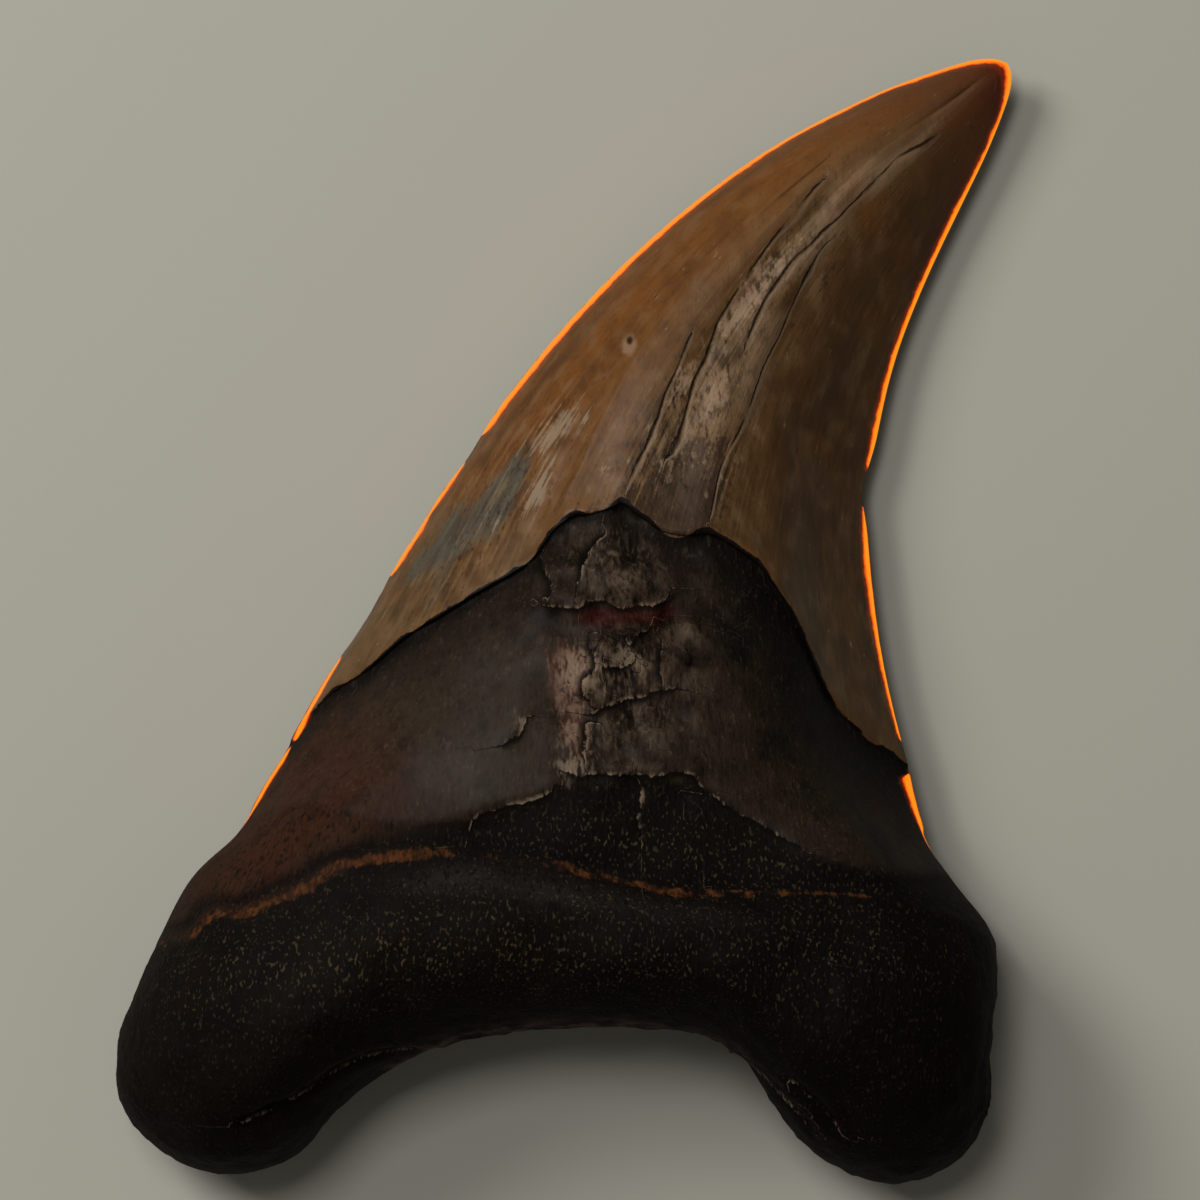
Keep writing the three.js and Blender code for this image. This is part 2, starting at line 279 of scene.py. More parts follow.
@dataclass(frozen=True)
class FeatureLine:
    """A crack, a fold or the broken edge of a flake.

    Attributes:
        points: The line, in pixels.
        run: Which way it runs. A flake lies above a line that runs across, and to the right of one
            that runs down.
        rise: How far a flake stands proud, in millimetres.
        reach: How far the flake runs back before it fades, in pixels.
        width: How wide a crack is against the others.
    """

    points: PicturePoints
    run: Run = Run.ACROSS
    rise: float = 0.0
    reach: float = 1.0
    width: float = 1.0

    def height(self, pixels: np.ndarray) -> np.ndarray:
        """Measures how far points lie from the line, in pixels, positive on the flake's side."""
        measure = beside if self.run is Run.DOWN else height_over
        return measure(self.points, pixels)

    def held(self, pixels: np.ndarray) -> np.ndarray:
        """Gives 1 beside the line and 0 beyond its ends."""
        axis = self.run.value
        start, end = self.points[0][axis], self.points[-1][axis]
        beyond = np.maximum(start - pixels[:, axis], pixels[:, axis] - end)
        return 1 - smoothstep(beyond, -10, 3)

    def pinched(self, pixels: np.ndarray) -> np.ndarray:
        """Measures like height, but further beyond the line's ends, so that it thins out there."""
        height = self.height(pixels)
        return height + np.sign(height) * (1 - self.held(pixels)) * 12

    def lift(self, pixels: np.ndarray) -> np.ndarray:
        """Works out how far the flake lifts each point, in millimetres."""
        above = self.height(pixels)
        face = smoothstep(above, -1, 3) * np.exp(-np.maximum(above, 0) / self.reach)
        return self.rise * self.held(pixels) * face


RIDGE_CRACK = FeatureLine(
    ((826, 181), (810, 196), (795, 215), (783, 230), (766, 251), (751, 273), (737, 293), (725, 312),
     (715, 329), (710, 344), (702, 365), (692, 385), (685, 411), (676, 440), (662, 470)),
    Run.DOWN, width=1.25,
)
MESIAL_CRACK = FeatureLine(
    ((693, 331), (684, 351), (674, 377), (664, 397), (657, 419), (645, 448), (631, 477), (623, 502)),
    Run.DOWN,
)
LONG_CRACK = FeatureLine(
    ((941, 134), (919, 150), (894, 164), (885, 173), (873, 185), (858, 201), (846, 212), (834, 225),
     (819, 238), (807, 251), (790, 266), (776, 285), (764, 302), (756, 317), (746, 340), (738, 362)),
    Run.DOWN, width=1.3,
)
DISTAL_CRACK = FeatureLine(
    ((834, 239), (819, 254), (807, 273), (795, 297), (785, 319), (776, 341), (761, 370), (747, 409),
     (737, 433), (722, 460), (715, 480), (710, 505), (704, 530)),
    Run.DOWN, width=0.75,
)
CRACKS = (RIDGE_CRACK, MESIAL_CRACK, LONG_CRACK, DISTAL_CRACK)
FLAKES: tuple[FeatureLine, ...] = (
    FeatureLine(((544, 605), (555, 608), (566, 607), (580, 608), (587, 602), (603, 600), (616, 607),
                 (641, 605), (653, 605), (664, 598), (670, 590)), Run.ACROSS, 0.24, 34),
    FeatureLine(((621, 637), (625, 641), (632, 641), (637, 631), (646, 628), (651, 616)),
                Run.ACROSS, 0.16, 16),
    FeatureLine(((590, 655), (597, 661), (605, 664), (616, 665), (630, 663), (635, 656)),
                Run.ACROSS, 0.2, 20),
    FeatureLine(((585, 710), (598, 707), (605, 703), (617, 700), (626, 695), (641, 694), (651, 689),
                 (665, 687), (677, 686)), Run.ACROSS, 0.26, 26),
    FeatureLine(((560, 762), (573, 766), (580, 771), (590, 767), (616, 768), (640, 768), (655, 769),
                 (670, 766), (688, 768), (704, 786)), Run.ACROSS, 0.3, 34),
    FeatureLine(((499, 742), (511, 736), (523, 730), (534, 711)), Run.ACROSS, 0.22, 20),
    FeatureLine(((470, 838), (478, 812), (503, 800), (525, 795), (545, 789), (563, 777)),
                Run.ACROSS, 0.2, 40),
    FeatureLine(((704, 785), (727, 801), (757, 817), (798, 842)), Run.ACROSS, 0.16, 30),
    FeatureLine(((587, 637), (592, 648), (597, 661), (594, 669), (584, 678), (584, 692), (594, 703)),
                Run.DOWN, 0.14, 20),
    FeatureLine(((588, 709), (585, 723), (587, 736), (584, 748), (589, 760)), Run.DOWN, 0.12, 24),
    FeatureLine(((544, 552), (545, 570), (553, 586), (549, 604)), Run.DOWN, 0.16, 26),
    FeatureLine(((604, 532), (592, 548), (584, 566), (578, 590)), Run.DOWN, 0.1, 18),
    FeatureLine(((657, 640), (659, 656), (657, 668), (662, 684)), Run.DOWN, 0.1, 16),
    FeatureLine(((634, 770), (640, 790), (636, 812), (642, 832)), Run.DOWN, 0.08, 12),
)
FOLDS: tuple[FeatureLine, ...] = (
    FeatureLine(((243, 1107), (266, 1100), (288, 1089), (311, 1078), (328, 1067), (344, 1056),
                 (367, 1044), (389, 1039), (412, 1037), (429, 1034))),
    FeatureLine(((728, 1036), (756, 1062), (786, 1092), (812, 1122))),
    FeatureLine(((776, 1056), (800, 1078), (822, 1100), (838, 1122))),
)


@dataclass(frozen=True)
class RustLine:
    """The rusty line between root and dental band: how wide and how strong it is along the picture.

    Attributes:
        columns: Places along the line, in pixels from the picture's left side.
        widths: Its half width there, in pixels.
        strengths: How much rust lies there, 0 to 1.
    """

    columns: tuple[int, ...] = (150, 200, 260, 330, 400, 450, 470, 530, 560, 600, 640, 700, 860, 940)
    widths: tuple[float, ...] = (3, 4, 6, 9, 9, 7, 5, 5, 7, 6, 6, 5, 4, 3)
    strengths: tuple[float, ...] = (0.6, 0.9, 1, 1.1, 1.1, 1, 0.5, 0.3, 0.95, 1, 0.95, 0.85, 0.6, 0.2)

    def field(self, columns: np.ndarray, gap: np.ndarray) -> np.ndarray:
        """Gives the rust at points, 1 in the middle of a strong stretch, below 0 beside the line.

        Args:
            columns: The points' places along the picture, in pixels.
            gap: How far they lie above the line, in pixels.

        Returns:
            The field.
        """
        width = np.interp(columns, self.columns, self.widths)
        strength = np.interp(columns, self.columns, self.strengths)
        return np.clip(1 - np.abs(gap + 2) / width, -1, 1) * strength


@dataclass(frozen=True)
class PicturePlan:
    """Turns picture pixels into the row's plan, in metres, and back.

    Attributes:
        side: The picture's side, in pixels.
        pixel: The side of one pixel in the plan, in metres.
        middle: Where the plan's origin lies in the picture, in pixels.
    """

    side: int = 1200
    pixel: float = 0.04491 * MM
    middle: tuple[float, float] = (565.08, 619.28)

    def pixels(self, places: np.ndarray) -> np.ndarray:
        """Gives the picture pixels that plan places fall on.

        Args:
            places: Points in metres, x and y first in each row.

        Returns:
            Their pixels, one row each.
        """
        return np.stack(
            [places[:, 0] / self.pixel + self.middle[0], self.middle[1] - places[:, 1] / self.pixel], 1
        )

    def place(self, pixel: tuple[float, float]) -> tuple[float, float]:
        """Gives the plan place of one picture pixel, in metres."""
        return (pixel[0] - self.middle[0]) * self.pixel, (self.middle[1] - pixel[1]) * self.pixel


def smooth_line(points: PicturePoints, count: int = 72) -> np.ndarray:
    """Draws a smooth line through points.

    Args:
        points: The points that it goes through.
        count: How many points the drawn line has.

    Returns:
        The drawn line's points, one row each.
    """
    given = np.array(points, float)
    ends = np.vstack([2 * given[0] - given[1], given, 2 * given[-1] - given[-2]])
    places = np.linspace(0, len(given) - 1, count)
    start = np.minimum(places.astype(int), len(given) - 2)
    t = (places - start)[:, None]
    a, b, c, d = (ends[start + k] for k in range(4))
    return 0.5 * (
        2 * b + (c - a) * t + (2 * a - 5 * b + 4 * c - d) * t**2 + (3 * b - a - 3 * c + d) * t**3
    )


def distance_to(line: np.ndarray, pixels: np.ndarray, far: float = 170.0) -> np.ndarray:
    """Measures how far points lie from a drawn line.

    Args:
        line: The line's points.
        pixels: The points to measure.
        far: The distance given to points that lie further than this outside the line's box.

    Returns:
        The distances, in pixels.
    """
    inside = ((pixels > line.min(0) - far) & (pixels < line.max(0) + far)).all(1)
    close = pixels[inside].astype(np.float32)
    nearest = np.full(len(close), far, np.float32) ** 2
    for start, end in zip(line[:-1], line[1:]):
        run = (end - start).astype(np.float32)
        away = close - start.astype(np.float32)
        share = np.clip(away @ run / max(float(run @ run), 1e-9), 0, 1)
        nearest = np.minimum(nearest, ((away - share[:, None] * run) ** 2).sum(1))
    distances = np.full(len(pixels), far)
    distances[inside] = np.sqrt(nearest)
    return distances


def height_over(points: PicturePoints, pixels: np.ndarray) -> np.ndarray:
    """Measures how far points lie from a line that runs across the picture.

    Args:
        points: The line, from left to right.
        pixels: The points to measure.

    Returns:
        The distances in pixels, positive towards the tip.
    """
    line = smooth_line(points)
    side = np.sign(np.interp(pixels[:, 0], line[:, 0], line[:, 1]) - pixels[:, 1])
    return side * distance_to(line, pixels)


def beside(points: PicturePoints, pixels: np.ndarray) -> np.ndarray:
    """Measures how far points lie from a line that runs down the picture.

    Args:
        points: The line, from top to bottom.
        pixels: The points to measure.

    Returns:
        The distances in pixels, positive to the right.
    """
    line = smooth_line(points)
    side = np.sign(pixels[:, 0] - np.interp(pixels[:, 1], line[:, 1], line[:, 0]))
    return side * distance_to(line, pixels)


def smoothstep(values: np.ndarray, low: float, high: float) -> np.ndarray:
    """Rises smoothly from 0 at low to 1 at high.

    Args:
        values: The numbers to map.
        low: Where the rise starts.
        high: Where it ends.

    Returns:
        The mapped numbers.
    """
    share = np.clip((values - low) / (high - low), 0, 1)
    return share * share * (3 - 2 * share)


class GrowthMap:
    """Follows the crown's hook: how far across the tooth and how far along it each point lies."""

    # Each edge is drawn with this many points.
    STATIONS = 200
    # Places are worked out for this many points at a time.
    BATCH = 4000

    def __init__(self) -> None:
        """Draws the two edges, paired rib by rib."""
        self.mesial = smooth_line(MESIAL_EDGE, self.STATIONS)
        self.distal = smooth_line(DISTAL_EDGE, self.STATIONS)
        middle = (self.mesial + self.distal) / 2
        steps = np.hypot(*np.diff(middle, axis=0).T)
        self.lengths = np.concatenate([[0], np.cumsum(steps)])

    def places(self, pixels: np.ndarray) -> tuple[np.ndarray, np.ndarray]:
        """Works out where points lie on the hook.

        Args:
            pixels: Points in picture pixels.

        Returns:
            The share of the way across from the mesial edge, and the pixels along from the lobes.
        """
        across = np.zeros(len(pixels))
        along = np.zeros(len(pixels))
        span = self.distal - self.mesial
        width = np.maximum(np.hypot(*span.T), 1e-6)
        for start in range(0, len(pixels), self.BATCH):
            batch = slice(start, start + self.BATCH)
            part = pixels[batch]
            away = part[:, None, :] - self.mesial[None]
            above = (away[..., 1] * span[:, 0] - away[..., 0] * span[:, 1]) / width
            passed = np.clip((above < 0).sum(1), 1, self.STATIONS - 1)
            row = np.arange(len(part))
            before = above[row, passed - 1]
            after = above[row, passed]
            share = np.clip(before / np.where(before == after, 1, before - after), 0, 1)
            near = (away * span).sum(2) / width**2
            across[batch] = near[row, passed - 1] * (1 - share) + near[row, passed] * share
            along[batch] = self.lengths[passed - 1] * (1 - share) + self.lengths[passed] * share
        return np.clip(across, 0, 1), along


class Sock:
    """A shader socket that takes Python's arithmetic, each operation adding a Math node."""

    def __init__(self, bench: Bench, socket: bpy.types.NodeSocket) -> None:
        """Wraps a socket of the bench's node tree."""
        self.bench = bench
        self.socket = socket

    def maths(self, operation: str, *values: Sock | float) -> Sock:
        """Adds one Math node.

        Args:
            operation: The Math node's operation.
            values: Its inputs, in order.

        Returns:
            Its result.
        """
        inputs = dict(enumerate(values))
        return self.bench.node("ShaderNodeMath", {"operation": operation}, inputs)

    def __add__(self, other: Sock | float) -> Sock:
        """Adds."""
        return self.maths("ADD", self, other)

    def __radd__(self, other: float) -> Sock:
        """Adds to a number."""
        return self.maths("ADD", other, self)

    def __sub__(self, other: Sock | float) -> Sock:
        """Subtracts."""
        return self.maths("SUBTRACT", self, other)

    def __rsub__(self, other: float) -> Sock:
        """Subtracts from a number."""
        return self.maths("SUBTRACT", other, self)

    def __mul__(self, other: Sock | float) -> Sock:
        """Multiplies."""
        return self.maths("MULTIPLY", self, other)

    def __rmul__(self, other: float) -> Sock:
        """Multiplies a number."""
        return self.maths("MULTIPLY", other, self)

    def __abs__(self) -> Sock:
        """Drops the sign."""
        return self.maths("ABSOLUTE", self)

    def at_most(self, other: Sock | float) -> Sock:
        """Gives the smaller."""
        return self.maths("MINIMUM", self, other)

    def at_least(self, other: Sock | float) -> Sock:
        """Gives the larger."""
        return self.maths("MAXIMUM", self, other)

    def rise(self, low: float, high: float) -> Sock:
        """Rises smoothly from 0 at low to 1 at high, or falls where high is the smaller.

        Args:
            low: Where the result is 0.
            high: Where it is 1.

        Returns:
            The mapped value.
        """
        settings = {"interpolation_type": "SMOOTHSTEP"}
        inputs = {"Value": self, "From Min": low, "From Max": high}
        return self.bench.node("ShaderNodeMapRange", settings, inputs)


class Bench:
    """Adds nodes to one material."""

    def __init__(self, name: str) -> None:
        """Makes an empty node material."""
        self.material = bpy.data.materials.new(name)
        self.material.use_nodes = True
        self.tree = self.material.node_tree
        self.tree.nodes.clear()

    def node(
        self,
        kind: str,
        settings: dict[str, object] | None = None,
        inputs: dict[str | int, object] | None = None,
        output: str | int = 0,
    ) -> Sock:
        """Adds one node.

        Args:
            kind: The node's type.
            settings: Its settings, set first; "stops" holds a ramp's places and colours.
            inputs: What goes into its sockets, by name or number: a value or a socket.
            output: The output to give back, by name or number.

        Returns:
            That output.
        """
        node = self.tree.nodes.new(kind)
        for key, value in (settings or {}).items():
            if key == "stops":
                self.set_stops(node.color_ramp, value)
            else:
                setattr(node, key, value)
        for key, value in (inputs or {}).items():
            socket = self.pick(node.inputs, key)
            if isinstance(value, Sock):
                self.tree.links.new(value.socket, socket)
            else:
                socket.default_value = value
        return Sock(self, self.pick(node.outputs, output)) if len(node.outputs) else Sock(self, None)

    @staticmethod
    def pick(sockets: bpy.types.bpy_prop_collection, key: str | int) -> bpy.types.NodeSocket:
        """Finds a socket by its number, its identifier or its name.

        Args:
            sockets: A node's inputs or outputs.
            key: The number, identifier or name.

        Returns:
            The socket.
        """
        if isinstance(key, int):
            return sockets[key]
        for socket in sockets:
            if socket.identifier == key:
                return socket
        return sockets[key]

    @staticmethod
    def set_stops(ramp: bpy.types.ColorRamp, stops: list[tuple[float, Colour]]) -> None:
        """Gives a colour ramp its stops.

        Args:
            ramp: The ramp.
            stops: Each stop's place and colour.
        """
        while len(ramp.elements) < len(stops):
            ramp.elements.new(1.0)
        for element, (place, colour) in zip(ramp.elements, stops):
            element.position = place
            element.color = (*colour, 1.0)

    def attribute(self, name: str) -> Sock:
        """Reads one of the piece's own attributes."""
        return self.node("ShaderNodeAttribute", {"attribute_name": name}, {}, "Vector")

    def pack(self, name: str) -> tuple[Sock, Sock, Sock]:
        """Reads the three fields that are packed in one attribute."""
        parts = self.node("ShaderNodeSeparateXYZ", {}, {"Vector": self.attribute(name)})
        return tuple(Sock(self, output) for output in parts.socket.node.outputs)

    def mix(self, share: Sock | float, first: Sock | Colour, second: Sock | Colour) -> Sock:
        """Mixes two colours.

        Args:
            share: 0 for the first colour, 1 for the second.
            first: The first colour.
            second: The second colour.

        Returns:
            The mixed colour.
        """
        inputs = {"Factor_Float": share, "A_Color": opaque(first), "B_Color": opaque(second)}
        return self.node("ShaderNodeMix", {"data_type": "RGBA"}, inputs, "Result_Color")

    def layered(self, colour: Sock, layers: list[tuple[Sock, Sock | Colour]]) -> Sock:
        """Lays colours over one another.

        Args:
            colour: The lowest colour.
            layers: How much each layer covers, 0 to 1, and its colour, from the lowest up.

        Returns:
            The mixed colour.
        """
        for share, tone in layers:
            colour = self.mix(share, colour, tone)
        return colour

    def stretched(self, vector: Sock, by: Triple) -> Sock:
        """Multiplies a vector axis by axis."""
        return self.node("ShaderNodeVectorMath", {"operation": "MULTIPLY"}, {0: vector, 1: by})

    def noise(self, vector: Sock, detail: float, roughness: float) -> Sock:
        """Adds a noise that is about 0.5 on average.

        Args:
            vector: Where to read it; one unit is about one bump.
            detail: How many finer layers it has.
            roughness: How strong the finer layers are.

        Returns:
            The noise.
        """
        inputs = {"Vector": vector, "Scale": 1.0, "Detail": detail, "Roughness": roughness}
        return self.node("ShaderNodeTexNoise", {}, inputs, "Fac")


def opaque(colour: Sock | Colour) -> Sock | tuple[float, float, float, float]:
    """Gives a plain colour its full opacity, and leaves a socket as it is."""
    return colour if isinstance(colour, Sock) else (*colour, 1.0)


def from_screen(red: int, green: int, blue: int) -> Colour:
    """Turns a colour as a screen shows it, 0 to 255, into shader values."""

    def linear(level: int) -> float:
        """Undoes the screen's curve."""
        share = level / 255
        return share / 12.92 if share <= 0.04045 else ((share + 0.055) / 1.055) ** 2.4

    return (linear(red), linear(green), linear(blue))


@dataclass(frozen=True)
class Enamel:
    """Colours of the crown's enamel, from the mesial edge to the distal one. Some of them paint light and
    shade: a highlight along the ridge and on the chipped patches, shade on the distal side, beside the
    cracks and under the enamel's edge, and a red glow inside the distal edge.
    """

    mesial: Colour = from_screen(104, 66, 28)
    olive: Colour = from_screen(96, 70, 40)
    # Partly a painted highlight along the crown's ridge.
    ridge: Colour = from_screen(134, 106, 78)
    # The shadow and distal tones are partly painted shade on the side turned away from the light.
    shadow: Colour = from_screen(86, 58, 30)
    distal: Colour = from_screen(72, 46, 20)
    low: Colour = from_screen(94, 70, 40)
    # Partly painted shade on the distal side.
    low_distal: Colour = from_screen(80, 60, 36)
    amber: Colour = from_screen(108, 62, 16)
    # Dark streaks, and also the painted shade beside the cracks.
    dark_streak_and_shade: Colour = from_screen(42, 26, 12)
    pale_streak: Colour = from_screen(132, 106, 76)
    slate: Colour = from_screen(78, 74, 62)
    mineral: Colour = from_screen(146, 130, 108)
    # Pale chipped patches, and also the painted highlight along the ridge.
    chip: Colour = from_screen(158, 132, 106)
    stain: Colour = from_screen(36, 24, 16)
    # Dark cracks and the pit's hole; also the painted shadow just under the enamel's edge.
    crack: Colour = from_screen(12, 7, 4)
    tip: Colour = from_screen(78, 42, 18)
    # A painted red glow just inside the distal cutting edge.
    glow_fringe: Colour = from_screen(92, 6, 2)


@dataclass(frozen=True)
class Band:
    """Colours of the dental band between enamel and root."""

    plain: Colour = from_screen(36, 25, 16)
    # Partly a painted grey-green sheen on the band's mesial part.
    green: Colour = from_screen(47, 38, 27)
    rusty: Colour = from_screen(56, 30, 16)
    plate: Colour = from_screen(65, 50, 39)
    pink: Colour = from_screen(98, 68, 54)
    # Pale crumbs and fibres, and also the painted highlights along the flakes' edges and the folds' lips.
    pale: Colour = from_screen(158, 136, 112)
    red: Colour = from_screen(48, 8, 5)
    # Dark grains, and also the painted shade under the enamel's edge and under the flakes.
    deep: Colour = from_screen(7, 4, 2)


@dataclass(frozen=True)
class Root:
    """Colours of the root."""

    plain: Colour = from_screen(9, 5, 3)
    # The darkest root tone; also the painted shade in the groove at the neck.
    deep: Colour = from_screen(4, 2, 1)
    brown: Colour = from_screen(15, 8, 4)
    smoke: Colour = from_screen(34, 29, 27)
    # A painted pale light on the wrinkled rim of the arch.
    wrinkle: Colour = from_screen(104, 86, 74)
    speck: Colour = from_screen(100, 84, 56)
    rust: Colour = from_screen(78, 45, 21)
    dark_rust: Colour = from_screen(46, 24, 10)


@dataclass(frozen=True)
class Glow:
    """Light that shows through the thin cutting edges, from the very edge inwards."""

    edge: Colour = (1.0, 0.30, 0.008)
    middle: Colour = (1.0, 0.11, 0.002)
    inner: Colour = (0.10, 0.006, 0.0)
    under: Colour = (0.02, 0.004, 0.0)
    strength: float = 1.0


@dataclass(frozen=True)
class Gloss:
    """How the tooth shines, and how deep its finest relief is.

    Attributes:
        specular: The shine of the bare material.
        coat_roughness: How blurred the coat's shine is.
        enamel_coat: How much coat the enamel has.
        bump: The strength of the finest relief.
        depth: Its depth, in metres.
    """

    specular: float = 0.06
    coat_roughness: float = 0.42
    enamel_coat: float = 0.22
    bump: float = 0.8
    depth: float = 0.08 * MM


@dataclass(frozen=True)
class Pit:
    """The small hole on the mesial slope, with a pale ring round it.

    Attributes:
        middle: Its middle, in pixels.
        squash: How much its two axes are shortened.
        shift: How far the ring lies from the hole, in millimetres.
        hole: Where the hole's wall ends and where its floor starts, in millimetres from its middle.
        ring: Where the ring ends and where it is palest.
    """

    middle: tuple[float, float] = (629, 346)
    squash: tuple[float, float] = (1.25, 0.9)
    shift: tuple[float, float] = (-0.04, -0.2)
    hole: tuple[float, float] = (0.24, 0.08)
    ring: tuple[float, float] = (0.56, 0.2)


@dataclass
class ToothSkin:
    """The tooth's skin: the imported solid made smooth, then cracked, flaked and worn.

    Attributes:
        node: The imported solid's name.
        sharpness: Edges that turn by more than this many degrees stay sharp.
        levels: How many times the skin is subdivided.
        weld: Vertices closer than this are joined, in millimetres.
        flatness: Triangles that meet at less than this many degrees become one face.
        crease: How sharp the sharp edges stay, 0 to 1.
    """

    node: str = "tooth"
    sharpness: float = 48.0
    levels: int = 2
    weld: float = 0.002
    flatness: float = 70.0
    crease: float = 0.85

    def build(self, source: bpy.types.Object) -> bpy.types.Object:
        """Makes the skin from a copy of the solid.

        Args:
            source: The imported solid.

        Returns:
            The finished mesh object.
        """
        piece = bpy.data.objects.new("fossil_tooth", source.data.copy())
        bpy.context.scene.collection.objects.link(piece)
        piece.data.materials.clear()
        select_only(piece)
        self.merge(piece)
        self.smooth(piece)
        self.carve(piece)
        self.mark(piece)
        select_only(piece)
        bpy.ops.object.shade_smooth_by_angle(angle=math.radians(self.sharpness))
        return piece

    def merge(self, piece: bpy.types.Object) -> None:
        """Joins the loose triangles into four-sided faces and creases the sharp edges."""
        bpy.ops.object.mode_set(mode="EDIT")
        bpy.ops.mesh.select_mode(type="EDGE")
        bpy.ops.mesh.select_all(action="SELECT")
        bpy.ops.mesh.remove_doubles(threshold=self.weld * MM)
        flatness = math.radians(self.flatness)
        bpy.ops.mesh.tris_convert_to_quads(face_threshold=flatness, shape_threshold=flatness)
        bpy.ops.mesh.select_all(action="DESELECT")
        bpy.ops.mesh.edges_select_sharp(sharpness=math.radians(self.sharpness))
        bpy.ops.transform.edge_crease(value=self.crease)
        bpy.ops.object.mode_set(mode="OBJECT")
        LOG.info("merged skin: %d faces", len(piece.data.polygons))

    def smooth(self, piece: bpy.types.Object) -> None:
        """Subdivides the skin."""
        rounder = piece.modifiers.new("rounder", "SUBSURF")
        rounder.levels = self.levels
        rounder.render_levels = self.levels
        bpy.ops.object.modifier_apply(modifier=rounder.name)

    def read(self, piece: bpy.types.Object) -> tuple[np.ndarray, np.ndarray]:
        """Reads the vertices' places and normals."""
        count = len(piece.data.vertices)
        places = np.empty(count * 3)
        normals = np.empty(count * 3)
        piece.data.vertices.foreach_get("co", places)
        piece.data.vertex_normals.foreach_get("vector", normals)
        return places.reshape(-1, 3), normals.reshape(-1, 3)

    def carve(self, piece: bpy.types.Object) -> None:
        """Moves the vertices in and out for the relief that is too fine for the solid."""
        places, normals = self.read(piece)
        rise = Relief().height(places, normals[:, 2])
        moved = places + normals * (rise * MM)[:, None]
        piece.data.vertices.foreach_set("co", np.clip(moved, places.min(0), places.max(0)).ravel())
        piece.data.update()

    def mark(self, piece: bpy.types.Object) -> None:
        """Writes the fields that the finish reads, packed three to an attribute."""
        fields = SkinFields(*self.read(piece))
        for name, parts in fields.packs().items():
            attribute = piece.data.attributes.new(name, "FLOAT_VECTOR", "POINT")
            attribute.data.foreach_set("vector", np.stack(parts, 1).astype(np.float32).ravel())


def fine_noise(places: np.ndarray, density: Triple, octaves: int = 3) -> np.ndarray:
    """Reads a noise at points.

    Args:
        places: The points, in metres.
        density: Bumps to a millimetre along each axis.
        octaves: How many layers the noise has.

    Returns:
        The noise, from about -1 to 1.
    """
    spots = places / MM * np.array(density)
    return np.array([noise.fractal(Vector(spot), 1.0, 2.1, octaves) for spot in spots])


def plate_noise(places: np.ndarray) -> np.ndarray:
    """Gives every broken plate of the dental band one level of its own, from -1 to 1."""
    spots = places / MM * np.array(PLATE_GRAIN)
    return np.array([noise.cell(noise.voronoi(Vector(spot))[1][0] * 7.3) * 2 - 1 for spot in spots])


def patch_field(name: str, pixels: np.ndarray) -> np.ndarray:
    """Adds up one named group of blobs at points."""
    return sum(blob.field(pixels) for blob in PATCHES[name])


def away_from(points: PicturePoints, pixels: np.ndarray) -> np.ndarray:
    """Measures how far points lie from a line, in pixels."""
    return distance_to(smooth_line(points), pixels)


